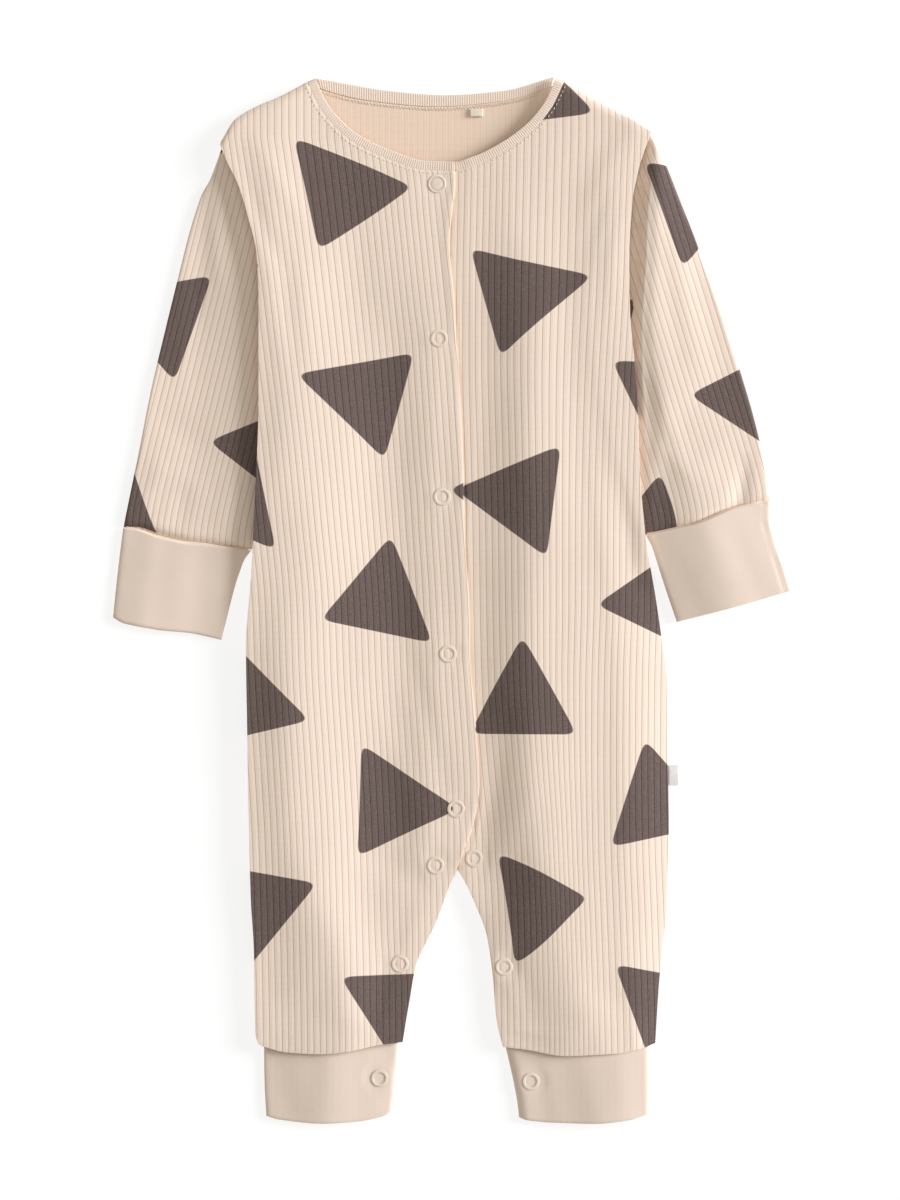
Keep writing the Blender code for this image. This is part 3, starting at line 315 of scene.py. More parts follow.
def smooth_curve(table):
    """Cubic pieces through the rows (station, value) of a table, with slopes that never overshoot."""
    rows = np.array(sorted(table), float)
    stations, values = rows[:, 0], rows[:, 1]
    slopes = np.diff(values) / np.diff(stations)
    before, after = slopes[:-1], slopes[1:]
    same_way = before * after > 0
    means = np.where(same_way, 2 * before * after / np.where(same_way, before + after, 1), 0)
    tangents = np.concatenate(([slopes[0]], means, [slopes[-1]]))

    def value(station):
        s = np.clip(station, stations[0], stations[-1])
        i = np.clip(np.searchsorted(stations, s) - 1, 0, len(slopes) - 1)
        span = stations[i + 1] - stations[i]
        t = (s - stations[i]) / span
        start = values[i] * (1 + 2 * t) * (1 - t) ** 2 + tangents[i] * span * t * (1 - t) ** 2
        end = values[i + 1] * t * t * (3 - 2 * t) + tangents[i + 1] * span * t * t * (t - 1)
        return start + end

    return value


def swapped(table):
    """The same table with its two columns changed over."""
    return [(b, a) for a, b in table]


def step(t):
    """0 below 0, 1 above 1, 3t^2 - 2t^3 between."""
    t = np.clip(t, 0.0, 1.0)
    return t * t * (3 - 2 * t)


def rounded(distance, radius=EDGE_ROUND):
    """Share of its thickness that a wall has near an edge: sqrt(1 - (1 - d / radius)^2), a quarter circle."""
    near = np.clip(1 - distance / radius, 0, 1)
    return np.sqrt(1 - near ** 2)


right_side, left_side = smooth_curve(RIGHT_SIDE), smooth_curve(LEFT_SIDE)
right_inside_leg, left_inside_leg = smooth_curve(RIGHT_INSIDE_LEG), smooth_curve(LEFT_INSIDE_LEG)
placket_edge = smooth_curve(PLACKET_EDGE)
right_shoulder, left_shoulder = smooth_curve(RIGHT_SHOULDER), smooth_curve(LEFT_SHOULDER)
front_neck, back_neck, back_neck_top = (smooth_curve(t) for t in (FRONT_NECK, BACK_NECK, BACK_NECK_TOP))
right_hem, left_hem = smooth_curve(RIGHT_HEM), smooth_curve(LEFT_HEM)
right_sleeve_fold = smooth_curve(swapped(RIGHT_SLEEVE_INNER))
left_sleeve_fold = smooth_curve(swapped(LEFT_SLEEVE_INNER))


def curves_of(table):
    """One smooth curve over the first column for each of the other columns of a table."""
    return [smooth_curve([(row[0], row[i]) for row in table]) for i in range(1, len(table[0]))]


right_folds, left_folds = curves_of(RIGHT_FOLD_LINES), curves_of(LEFT_FOLD_LINES)


def shoulder(x):
    """Height of the shoulder line over x."""
    return np.where(x < 0, right_shoulder(x), left_shoulder(x))


def hem(x):
    """Height of the leg's lower edge over x."""
    return np.where(x < 0, right_hem(x), left_hem(x))


def over_neck(x):
    """Whether x lies within the neckline."""
    return (x > NECK_SPAN[0]) & (x < NECK_SPAN[1])


def front_top_line(x):
    """Upper edge of a front: the shoulder line or the neckline, whichever is lower."""
    return np.where(over_neck(x), np.minimum(shoulder(x), front_neck(x)), shoulder(x))


def lift(x, y):
    """How far the body is lifted by the sleeves under its sides: a ramp across times a ramp along."""
    right = step((right_sleeve_fold(y) + LIFT_RAMP - x) / LIFT_RAMP)
    left = step((x - left_sleeve_fold(y) + LIFT_RAMP) / LIFT_RAMP)
    return SLEEVE_LIFT * np.maximum(right, left) * step((y - LIFT_LOW) / (LIFT_HIGH - LIFT_LOW))


def from_top(x, y):
    """Distance from where the round at the front's upper edge would end, beyond the shoulder or the neck."""
    neck = np.where(over_neck(x), front_neck(x) - y + NECK_EASE, np.inf)
    return np.maximum(0.0, np.minimum(shoulder(x) - y + SHOULDER_EASE, neck))


def lofted(x, lines):
    """Height through lines (place, height) across: from each to the next along a smooth step."""
    height = lines[0][1]
    for (x0, z0), (x1, z1) in zip(lines, lines[1:]):
        height = height + (z1 - z0) * step((x - x0) / (x1 - x0))
    return height


def ripples(x, y):
    """Sum of waves, height * sin(2 pi (x / across + y / along) + start)."""
    return sum(height * np.sin(2 * math.pi * (x / across + y / along) + start)
               for across, along, start, height in RIPPLES)


def creases(table, x, y):
    """Sum of short creases: each is a bell across its line, height * exp(-(distance / half width)^2), which
    rises and fades along it as the sine of the share of its length."""
    total = 0.0
    for x0, y0, x1, y1, half_width, height in table:
        length = math.hypot(x1 - x0, y1 - y0)
        along = ((x - x0) * (x1 - x0) + (y - y0) * (y1 - y0)) / length ** 2
        across = ((x - x0) * (y1 - y0) - (y - y0) * (x1 - x0)) / length
        bend = CREASE_BEND * length * along * (1 - along)
        swell = np.sin(math.pi * np.clip(0.5 + (along - 0.5) * CREASE_SHARE, 0, 1))
        total = total + height * swell * np.exp(-((across - bend) / half_width) ** 2)
    return total


def rib_height(r, pitch, height):
    """Height over a place across the ribs: partly a cosine crown, and else a flat cut by narrow grooves."""
    from_crest = r / pitch - np.round(r / pitch)
    to_groove = (0.5 - np.abs(from_crest)) * pitch
    crown = 0.5 + 0.5 * np.cos(2 * math.pi * from_crest)
    flat = 1 - np.exp(-(to_groove / GROOVE_WIDTH) ** 2)
    return height * ((1 - GROOVE_SHARE) * crown + GROOVE_SHARE * flat)


def box_of(node):
    """Lowest and highest corner of a node of the frame, in millimetres."""
    return [[c / MM for c in corner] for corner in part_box(node)]


def popper_places(carrier=None):
    """Centre of each popper of the frame, in millimetres, for one carrier or for all."""
    places = {}
    for name, on in CARRIERS.items():
        if carrier in (None, on):
            low, high = box_of(name)
            places[name] = (low[0] + high[0]) / 2, (low[1] + high[1]) / 2
    return places


def popper_reaches(carrier, x, y):
    """For each popper that a piece carries: its centre, and the distance of every point from it."""
    for px, py in popper_places(carrier).values():
        yield px, py, np.hypot(x - px, y - py)


def dome(carrier, x, y):
    """Swelling of the cloth inside the ring poppers: a paraboloid up to the ring."""
    total = np.zeros_like(x)
    for _, _, reach in popper_reaches(carrier, x, y):
        total = total + DOME * np.clip(1 - (reach / DOME_RADIUS) ** 2, 0, 1)
    return total


def flat_share(reach):
    """1 on the flat round a popper, 0 beyond its fade."""
    return 1 - step((reach - PRESSED_FLAT) / (PRESSED_FADE - PRESSED_FLAT))


def pressed(height, carrier):
    """A height function with the cloth pressed flat round the poppers that it carries."""
    def value(x, y):
        result = height(x, y)
        for px, py, reach in popper_reaches(carrier, x, y):
            hold = flat_share(reach)
            result = (1 - hold) * result + hold * height(np.float64(px), np.float64(py))
        return result
    return value


def popper_hold(carrier, x, y):
    """1 where a popper leaves the cloth without ribs, 0 away from it."""
    hold = np.zeros_like(x)
    for _, _, reach in popper_reaches(carrier, x, y):
        hold = np.maximum(hold, flat_share(reach + RIBS_NEARER))
    return hold


def settled(x, y, folds):
    """Smooth top of the front: the folds, creases and ripples, rounded off at the edges, or the cloth lifted
    by the sleeves where that is higher; the change from one to the other is soft."""
    rise = rounded(from_top(x, y), TOP_ROUND)
    wrinkles = creases(RIGHT_CREASES, x, y) + creases(LEFT_CREASES, x, y) + ripples(x, y)
    roll = LEFT_ROLL * np.clip(1 - (left_side(y) - x) / LEFT_ROLL_WIDTH, 0, 1) ** 2
    puffed = FRONT_FLOOR + np.maximum(folds + wrinkles + PUFF - roll, LEAST_PUFF) * rise
    lifted = FRONT_FLOOR + lift(x, y)
    return 0.5 * (puffed + lifted + np.sqrt((puffed - lifted) ** 2 + LIFT_SOFTENING * rise))


def forked(above, inside_leg):
    """One edge down to the crotch, then an inside leg."""
    def value(y):
        return np.where(y > CROTCH[1], above(y), inside_leg(y))
    return value


def hidden_placket_edge(y):
    """Free edge of the left front under the placket, which runs in to the crotch."""
    return placket_edge(y) - PLACKET_WIDTH * step((y - CROTCH[1]) / PLACKET_END)


def middle_line(y):
    """x of the crotch at every y."""
    return np.full_like(y, CROTCH[0])


def moved(edge, distance):
    """An edge moved along x."""
    def value(y):
        return edge(y) + distance
    return value


right_front_edge, left_front_edge = (
    forked(placket_edge, right_inside_leg), forked(hidden_placket_edge, left_inside_leg))


def right_fold_height(x, y):
    """Fold lines of the right front from its side to its placket edge or inside leg."""
    side_z, ridge_x, ridge_z, valley_x, valley_z, popper_x, popper_z, edge_z = (c(y) for c in right_folds)
    return lofted(x, [(right_side(y), side_z), (ridge_x, ridge_z), (valley_x, valley_z), (popper_x, popper_z),
                      (right_front_edge(y), edge_z)])


def left_fold_height(x, y):
    """Fold lines of the left front: under the placket it follows the right one a layer lower."""
    trough_x, trough_z, ridge_x, ridge_z, terrace_x, terrace_z, side_z = (c(y) for c in left_folds)
    under = right_fold_height(x, y) - LAYER_STEP
    edge_x = np.where(y > CROTCH[1], placket_edge(y), CROTCH[0] - LEG_START_SLOPE * (CROTCH[1] - y))
    edge_z = right_folds[-1](y) - LAYER_STEP
    trough_x = np.maximum(trough_x, edge_x + 1)
    beside = lofted(x, [(edge_x, edge_z), (trough_x, trough_z), (ridge_x, ridge_z), (terrace_x, terrace_z),
                        (left_side(y), side_z)])
    return np.where((x < edge_x) & (y > CROTCH[1]), under, beside)


def overlap_share(x, y):
    """1 where the two fronts lie on each other at the placket, 0 away from it."""
    under = placket_edge(y) - x
    across = step((under + OVERLAP_FADE) / OVERLAP_FADE)
    across = across * (1 - step((under - PLACKET_WIDTH - OVERLAP_SPARE) / OVERLAP_FADE))
    return across * step((y - CROTCH[1]) / OVERLAP_FADE)


def lower_front(x, y):
    """Smooth top of the left front."""
    return settled(x, y, left_fold_height(x, y))


left_front_top = pressed(lower_front, "front_left")


def from_placket(x, y):
    """Distance of a point of the right front from its placket edge; it grows towards the crotch, where the
    turned edge runs out."""
    running_out = TURNED_EDGE * (1 - step((y - CROTCH[1]) / TURNED_END))
    return np.maximum(placket_edge(y) - x, 0) + running_out


def upper_front(x, y):
    """Smooth top of the right front, which lies on the left one at the placket and has a turned edge."""
    share = overlap_share(x, y)
    roll = TURNED_RISE * np.sin(math.pi * np.clip(from_placket(x, y) / TURNED_EDGE, 0, 1))
    alone = settled(x, y, right_fold_height(x, y))
    return (1 - share) * alone + share * (left_front_top(x, y) + LAYER_STEP + roll)


right_front_top = pressed(upper_front, "front_right")


# ---- grids and meshes ----------------------------------------------------------------------------

def lean_of(table, span):
    """Place of a rib in the plan: x = r + shift(y), where the shift blends from the side to the placket."""
    by_side, by_placket = curves_of(table)

    def x_of(r, y):
        """x of a rib at y."""
        share = step((r - span[0]) / (span[1] - span[0]))
        return r + by_side(y) * (1 - share) + by_placket(y) * share

    def r_of(x, y):
        """The rib at a point: a guess is moved by most of what x_of misses, 12 times."""
        r = x
        for _ in range(12):
            r = r + 0.8 * (x - x_of(r, y))
        return r

    return x_of, r_of


def edge_place(edge, row, level):
    """The point where each row meets an edge: x follows from y and y from x, so the two are run in turn."""
    x = edge(level)
    for _ in range(14):
        x = 0.5 * (x + edge(row(x, level)))
    return x, row(x, level)


def body_row(neck):
    """y over x and a level: straight across the body, curved to the neck above and the hem below."""
    def value(x, level):
        up = np.clip((level - NECK_ZONE) / (NECK_NOMINAL - NECK_ZONE), 0, None)
        down = np.clip((LEG_ZONE - level) / (LEG_ZONE - HEM_NOMINAL), 0, None)
        middle = np.clip(level, LEG_ZONE, NECK_ZONE)
        return middle + up * (neck(x) - NECK_ZONE) + down * (hem(x) - LEG_ZONE)
    return value


def body_levels(row_step):
    """Even levels from hem to neck, with close ones where the cloth's edge is rounded and at the crotch."""
    count = round((NECK_NOMINAL - HEM_NOMINAL) / row_step)
    middle = np.linspace(HEM_NOMINAL + ROW_INSET, NECK_NOMINAL - ROW_INSET, count)
    middle = middle[np.abs(middle - CROTCH[1]) > CROTCH_CLEAR * row_step]
    fork_rows = [CROTCH[1] - CROTCH_ROWS, CROTCH[1] + CROTCH_ROWS]
    ends = (HEM_NOMINAL + EDGE_OFFSETS, NECK_NOMINAL - EDGE_OFFSETS, fork_rows)
    return np.unique(np.concatenate((middle, *ends)))[:, None]


def rib_places(low, high, pitch, across=RIB_COLUMNS):
    """Places of the grid's columns, a few on every rib between two edges."""
    ribs = np.arange(math.floor(low / pitch) - 1, math.ceil(high / pitch) + 2)
    return ((ribs[:, None] + across) * pitch).ravel()


def span_columns(low, high, places):
    """Rib places held between two edges, with close columns at each edge; those that coincide are merged."""
    inset = EDGE_OFFSETS[-1]
    middle = np.clip(places, low + inset, high - inset)
    return np.concatenate((low + EDGE_OFFSETS[:-1], middle, high - EDGE_OFFSETS[-2::-1]), axis=1)


def quads(rows, columns, wrap_rows, wrap_columns, drop=None):
    """Corner numbers of every quad of a grid, without those to drop."""
    number = np.arange(rows * columns).reshape(rows, columns)
    here = number if wrap_rows else number[:-1]
    there = np.roll(number, -1, 0) if wrap_rows else number[1:]
    if wrap_columns:
        corners = (here, np.roll(here, -1, 1), np.roll(there, -1, 1), there)
    else:
        corners = (here[:, :-1], here[:, 1:], there[:, 1:], there[:, :-1])
    faces = np.stack(corners, axis=-1)
    return faces.reshape(-1, 4) if drop is None else faces[~drop]


def make_mesh(name, parts, finish):
    """One closed mesh from parts (points, faces, cloth places), in millimetres; its faces point outwards.

    The cloth places (across the ribs, along them, 1 on the right side of the cloth and 0 on the wrong one)
    are kept in the attribute "cloth".
    """
    points, faces, cloth, first = [], [], [], 0
    for part_points, part_faces, part_cloth in parts:
        flat = part_points.reshape(-1, 3)
        corners = flat[part_faces] * MM
        normals = np.cross(corners[:, 1], corners[:, 2]) + np.cross(corners[:, 2], corners[:, 3])
        outwards = (corners[:, 0] * normals).sum() > 0
        points.append(flat * MM)
        faces.append((part_faces if outwards else part_faces[:, ::-1]) + first)
        cloth.append(part_cloth.reshape(-1, 3))
        first += len(flat)
    mesh = bpy.data.meshes.new(name)
    mesh.from_pydata(np.concatenate(points).tolist(), [], np.concatenate(faces).tolist())
    places = mesh.attributes.new("cloth", "FLOAT_VECTOR", "POINT")
    places.data.foreach_set("vector", np.concatenate(cloth).astype(np.float32).ravel())
    shape = bmesh.new()
    shape.from_mesh(mesh)
    bmesh.ops.remove_doubles(shape, verts=shape.verts, dist=MERGE)
    loose = [v for v in shape.verts if not v.link_faces]
    bmesh.ops.delete(shape, geom=loose, context="VERTS")
    shape.to_mesh(mesh)
    shape.free()
    mesh.shade_smooth()
    mesh.materials.append(material(finish))
    piece = bpy.data.objects.new(name, mesh)
    bpy.context.scene.collection.objects.link(piece)
    return piece


def stand_in(name, node, parts, finish):
    """A mesh that rides on the frame and stands for its node; its slot is called after its finish."""
    piece = make_mesh(name, parts, finish)
    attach(piece, "root")
    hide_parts(node)
    return piece


def wall_part(x, y, top, bottom, r, side_top=1.0, drop=None, rim=None):
    """A wall from two sheets of one grid that meet all round: points, faces and cloth places. On its rim the
    lower sheet shows the same side of the cloth as the upper one."""
    rows, columns = x.shape
    upper = np.stack((x, y, top), axis=-1)
    lower = np.stack((x, y, bottom), axis=-1)
    up_faces = quads(rows, columns, False, False, drop)
    faces = np.concatenate((up_faces, up_faces[:, ::-1] + rows * columns))
    sides = np.stack((np.full_like(x, side_top), np.full_like(x, 1 - side_top)))
    if rim is not None:
        sides[1][rim] = side_top
    marks = [np.stack((r, y, side), axis=-1) for side in sides]
    return np.stack((upper, lower)), faces, np.stack(marks)


def marked(marks, side):
    """Cloth places with the side of the cloth added."""
    return np.concatenate((marks, np.full((*marks.shape[:2], 1), side)), axis=-1)


def tube_part(outside, inside, side=1.0):
    """A tube wall: rings of the outside and then of the inside, joined at both ends into one closed skin. The
    outside shows a side of the cloth, and the inside the wrong one."""
    (outer, outer_marks), (inner, inner_marks) = outside, inside
    points = np.concatenate((outer, inner[::-1]))
    faces = quads(points.shape[0], points.shape[1], True, True)
    return points, faces, np.concatenate((marked(outer_marks, side), marked(inner_marks[::-1], 0.0)))


# ---- shaders -------------------------------------------------------------------------------------

def math_node(operation):
    """A method that adds the Math node of an operation."""
    def method(value, *others):
        return value.math(operation, *others)
    return method


class Value:
    """A socket of a shader; an expression on it adds its Math nodes."""

    def __init__(self, shader, socket):
        self.shader, self.socket = shader, socket

    def math(self, operation, *others):
        """The result of a Math node on this value and the others."""
        sockets = dict(enumerate((self, *others)))
        return self.shader.add("ShaderNodeMath", {"operation": operation}, sockets)

    __add__ = __radd__ = math_node("ADD")
    __sub__ = math_node("SUBTRACT")
    __mul__ = __rmul__ = math_node("MULTIPLY")
    __truediv__ = math_node("DIVIDE")
    __mod__ = math_node("FLOORED_MODULO")
    __abs__ = math_node("ABSOLUTE")
    floor, sin, cos = math_node("FLOOR"), math_node("SINE"), math_node("COSINE")
    smooth_max = math_node("SMOOTH_MAX")

    def __rsub__(self, other):
        return self * -1.0 + other

    def ramp(self, low, high):
        """0 at low, 1 at high, smooth between."""
        sockets = {0: self, 1: low, 2: high, 3: 0.0, 4: 1.0}
        return self.shader.add("ShaderNodeMapRange", {"interpolation_type": "SMOOTHSTEP"}, sockets)


class Shader:
    """A material under construction."""

    def __init__(self, name):
        self.material = bpy.data.materials.new(name)
        self.material.use_nodes = True
        self.tree = self.material.node_tree
        self.surface = self.tree.nodes["Principled BSDF"]

    def add(self, kind, settings, sockets, output=0):
        """A node of a kind: its settings first, then the values or links of its sockets."""
        node = self.tree.nodes.new(kind)
        for name, value in settings.items():
            setattr(node, name, value)
        for name, value in sockets.items():
            self.plug(node.inputs[name], value)
        return Value(self, node.outputs[output])

    def plug(self, socket, value):
        """A link from a Value, or else a plain value."""
        if isinstance(value, Value):
            self.tree.links.new(value.socket, socket)
        else:
            socket.default_value = value

    def finish(self, sockets):
        """The material, once the sockets of its surface are filled."""
        for name, value in sockets.items():
            self.plug(self.surface.inputs[name], value)
        return self.material

    def cloth(self):
        """Places across and along the ribs in millimetres, and the side of the cloth."""
        places = self.add("ShaderNodeAttribute", {"attribute_name": "cloth"}, {}, "Vector")
        first = self.add("ShaderNodeSeparateXYZ", {}, {0: places})
        return [Value(self, output) for output in first.socket.node.outputs]

    def noise(self, scale, detail=2.0, roughness=0.5):
        """Noise of a scale in cells to the metre on the object's own coordinates."""
        point = self.add("ShaderNodeTexCoord", {}, {}, "Object")
        sockets = {"Vector": point, "Scale": scale, "Detail": detail, "Roughness": roughness}
        return self.add("ShaderNodeTexNoise", {}, sockets)

    def mix(self, factor, first, second):
        """Colour between two colours."""
        colours = [(*c, 1.0) if isinstance(c, tuple) else c for c in (first, second)]
        return self.add("ShaderNodeMix", {"data_type": "RGBA"}, {0: factor, 6: colours[0], 7: colours[1]}, 2)

    def bump(self, height, distance, strength=1.0):
        """A normal raised by a height, times a distance in metres."""
        sockets = {"Height": height, "Distance": distance, "Strength": strength}
        return self.add("ShaderNodeBump", {}, sockets)


def tint(colour, factor):
    """A colour with each channel multiplied by a number, or by one number for each channel."""
    factors = factor if isinstance(factor, tuple) else (factor,) * 3
    return tuple(c * f for c, f in zip(colour, factors))


# Sockets that the knits share: soft and matt, with a little sheen
KNIT = {"Roughness": 0.92, "Specular IOR Level": 0.25, "Sheen Weight": 0.18, "Sheen Roughness": 0.5}
FUZZ = (1600.0, 2.0, 0.7)               # noise of the fibres: scale, detail and roughness
MOTIF_CORNER = 0.16       # how far a motif's corners are rounded, as a share of its height
MOTIF_BLUR = 0.25


def stitches(across, along, wale, course):
    """Knit face: stitches are vees, sin(2 pi (along / course + 0.35 zigzag)), with a valley between wales."""
    zigzag = abs((across / wale) % 1.0 - 0.5) * 2.0
    vees = ((along / course + zigzag * 0.35) * (2 * math.pi)).sin()
    return vees * 0.25 + (1.0 - zigzag) * 0.5


def printed(across, along, settings):
    """Mask of the print: rounded triangles on a half-drop lattice, each turned by its own angle.

    A triangle is the smooth maximum of three distances along directions 120 degrees apart, less its
    inner radius; the smooth maximum rounds its corners.
    """
    wide, tall = millimetres(settings.motif_across), millimetres(settings.motif_along)
    size = millimetres(settings.motif_size)
    column = (across / wide).floor()
    dropped = along / tall + column * 0.5
    number = dropped.floor()
    x = (across / wide - column - 0.5) * wide
    y = (dropped - number - 0.5) * tall
    turn = column * 2.3 + number * 1.45 + 0.4
    cos, sin = turn.cos(), turn.sin()
    u, v = x * cos + y * sin, y * cos - x * sin
    sides = [u * math.cos(a) + v * math.sin(a) for a in np.radians((90, 210, 330)).tolist()]
    corner = MOTIF_CORNER * size
    reach = sides[0].smooth_max(sides[1], corner).smooth_max(sides[2], corner)
    return 1.0 - reach.ramp(size / 3 - MOTIF_BLUR, size / 3 + MOTIF_BLUR)


def rib_jersey():
    """Printed rib jersey: cream ribs with painted brown shade in their grooves, taupe print on the right
    side, plain inside with fainter painted shade in its grooves.
    """
    cloth, colours = bpy.context.scene.sleepsuit_cloth, bpy.context.scene.sleepsuit_colours
    shader = Shader("rib_jersey")
    across, along, side = shader.cloth()
    pitch = millimetres(cloth.rib_pitch)
    from_crest = abs((across / pitch + 0.5) % 1.0 - 0.5)
    # mask of the grooves, where painted shade darkens the colours below
    groove = from_crest.ramp(0.38, 0.5)
    cream = tuple(colours.cream)
    cloud = shader.noise(14.0, 3.0)
    fuzz = shader.noise(*FUZZ)
    ground = shader.mix(cloud.ramp(0.3, 0.7), tint(cream, 0.975), tint(cream, 1.02))
    # painted shade: the grooves of the cream ground are darkened to a warm brown
    ground = shader.mix(groove * 0.9, ground, tint(cream, (0.66, 0.58, 0.50)))
    ink = tuple(colours.taupe)
    ink_ground = shader.mix(fuzz.ramp(0.42, 0.72), tint(ink, 0.86), tint(ink, 1.35))
    # painted shade in the grooves of the print as well
    ink_ground = shader.mix(groove * 0.85, ink_ground, tint(ink, (0.34, 0.30, 0.28)))
    mask = printed(across, along, cloth)
    right_side_colour = shader.mix(mask, ground, ink_ground)
    inner = tuple(colours.inside)
    # painted shade, fainter, in the grooves of the wrong side
    wrong_side = shader.mix(groove * 0.35, inner, tint(inner, (0.84, 0.78, 0.72)))
    colour = shader.mix(side.ramp(0.3, 0.7), wrong_side, right_side_colour)
    knit = stitches(across, along, pitch / 4, 0.62)
    relief = shader.bump(knit + fuzz * 0.6, 0.00012, 0.5)
    return shader.finish({**KNIT, "Base Color": colour, "Normal": relief})


def plain_jersey():
    """Smooth jersey of the cuffs, a shade darker than the rib."""
    colours = bpy.context.scene.sleepsuit_colours
    shader = Shader("plain_jersey")
    across, along, side = shader.cloth()
    base = tuple(colours.plain)
    cloud = shader.noise(22.0, 3.0)
    fuzz = shader.noise(1500.0, 2.0, 0.7)
    colour = shader.mix(cloud.ramp(0.3, 0.7), tint(base, 0.965), tint(base, 1.02))
    colour = shader.mix(side.ramp(0.3, 0.7), tuple(colours.inside), colour)
    knit = stitches(across, along, 0.62, 0.5)
    relief = shader.bump(knit + fuzz * 0.8, 0.0001, 0.45)
    softer = {"Roughness": 0.9, "Sheen Weight": 0.15}
    return shader.finish({**KNIT, "Base Color": colour, "Normal": relief, **softer})


def fine_rib():
    """One-by-one rib of the neck binding, with painted shade in its grooves."""
    cloth, colours = bpy.context.scene.sleepsuit_cloth, bpy.context.scene.sleepsuit_colours
    shader = Shader("fine_rib")
    across, along, _ = shader.cloth()
    base = tuple(colours.cream)
    from_crest = abs((across / millimetres(cloth.fine_rib_pitch) + 0.5) % 1.0 - 0.5)
    groove = from_crest.ramp(0.28, 0.5)
    fuzz = shader.noise(*FUZZ)
    # painted shade: the grooves of the binding are darkened
    colour = shader.mix(groove * 0.8, base, tint(base, (0.78, 0.71, 0.64)))
    relief = shader.bump(fuzz + (along * (2 * math.pi / 0.55)).sin() * 0.2, 0.0001, 0.5)
    return shader.finish({**KNIT, "Base Color": colour, "Normal": relief})


def popper_resin():
    """Cream resin, satin, with fine moulding marks, and painted shade low down where it is bedded in the
    cloth.
    """
    shader = Shader("popper_resin")
    base = tuple(bpy.context.scene.sleepsuit_colours.resin)
    _, height, _ = shader.cloth()
    marks = shader.noise(420.0, 3.0)
    colour = shader.mix(marks.ramp(0.35, 0.7), tint(base, 0.96), tint(base, 1.03))
    # painted shade: the low part of each popper is darkened, standing in for the shade at its foot
    colour = shader.mix(height.ramp(0.06, 0.27), tint(base, (0.50, 0.42, 0.34)), colour)
    relief = shader.bump(marks, 0.00004, 0.5)
    return shader.finish({
        "Base Color": colour, "Roughness": marks.ramp(0.2, 0.8) * 0.15 + 0.28, "Normal": relief,
        "Specular IOR Level": 0.5})


def woven_tape(name):
    """Woven tape of a bare label: warp and weft threads cross at a spacing in millimetres."""
    shader = Shader(name)
    setting, spacing = TAPES[name]
    base = tuple(getattr(bpy.context.scene.sleepsuit_colours, setting))
    across, along, _ = shader.cloth()
    weave = (across * (2 * math.pi / spacing)).sin() * (along * (2 * math.pi / spacing)).sin()
    colour = shader.mix(weave.ramp(-1.0, 1.0), tint(base, 0.95), tint(base, 1.03))
    relief = shader.bump(weave, 0.00006, 0.6)
    return shader.finish({"Base Color": colour, "Roughness": 0.7, "Normal": relief, "Sheen Weight": 0.1})


def sewing_thread():
    """Twisted cream thread."""
    shader = Shader("sewing_thread")
    across, along, _ = shader.cloth()
    base = tint(tuple(bpy.context.scene.sleepsuit_colours.cream), (1.03, 1.01, 0.98))
    twist = ((across + along) * 1.6).sin()
    colour = shader.mix(twist.ramp(-1.0, 1.0), tint(base, 0.9), base)
    relief = shader.bump(twist, 0.00005, 0.6)
    return shader.finish({"Base Color": colour, "Roughness": 0.7, "Normal": relief})


# Tapes: setting of the colour, spacing of the threads
TAPES = {"label_tape": ("label", 0.5), "tab_tape": ("tab", 0.4)}
MAKERS = {
    "rib_jersey": rib_jersey, "plain_jersey": plain_jersey, "fine_rib": fine_rib,
    "popper_resin": popper_resin, "sewing_thread": sewing_thread}


def material(name):
    """The named finish, made when it is first asked for."""
    if name not in FINISHES:
        FINISHES[name] = woven_tape(name) if name in TAPES else MAKERS[name]()
    return FINISHES[name]


# ---- body ----------------------------------------------------------------------------------------

def front_grid(low_edge, high_edge, lean):
    """Grid of a front: rib place, x and y of every point, and its distance from the nearest edge."""
    pitch = millimetres(bpy.context.scene.sleepsuit_cloth.rib_pitch)
    x_of, r_of = lean
    row, level = body_row(front_top_line), body_levels(ROW_STEP)
    (low_x, low_y), (high_x, high_y) = edge_place(low_edge, row, level), edge_place(high_edge, row, level)
    low, high = r_of(low_x, low_y), r_of(high_x, high_y)
    r = span_columns(low, high, rib_places(low.min(), high.max(), pitch)[None, :])
    x, y = r, np.broadcast_to(level, r.shape)
    for _ in range(6):
        x = x_of(r, y)
        y = row(x, level)
    x = np.clip(x, low_x, high_x)
    ends = np.minimum(np.abs(front_top_line(x) - y), np.abs(y - hem(x)))
    edge = np.minimum.reduce([r - low, high - r, ends])
    return r, x, y, edge


def pull_to_poppers(carrier, x, y):
    """x drawn in towards each popper: the shift is -pull * (x - centre) * exp(-(distance / reach)^2)."""
    for px, py in popper_places(carrier).values():
        near = np.exp(-(((x - px) ** 2 + (y - py) ** 2) / POPPER_PULL_REACH ** 2))
        x = x - POPPER_PULL * (x - px) * near
    return x


def skirt_share(x, y, low_edge, high_edge):
    """1 at the sides and, below the crotch, at the inside legs, where the front turns down to the back."""
    from_side = np.minimum(x - right_side(y), left_side(y) - x)
    from_leg = np.minimum(np.abs(x - low_edge(y)), np.abs(high_edge(y) - x))
    below = step((CROTCH[1] + LEG_SKIRT_START - y) / LEG_SKIRT_FADE)
    width = SKIRT_FADE - SKIRT
    return np.maximum(step((SKIRT_FADE - from_side) / width), below * step((SKIRT_FADE - from_leg) / width))


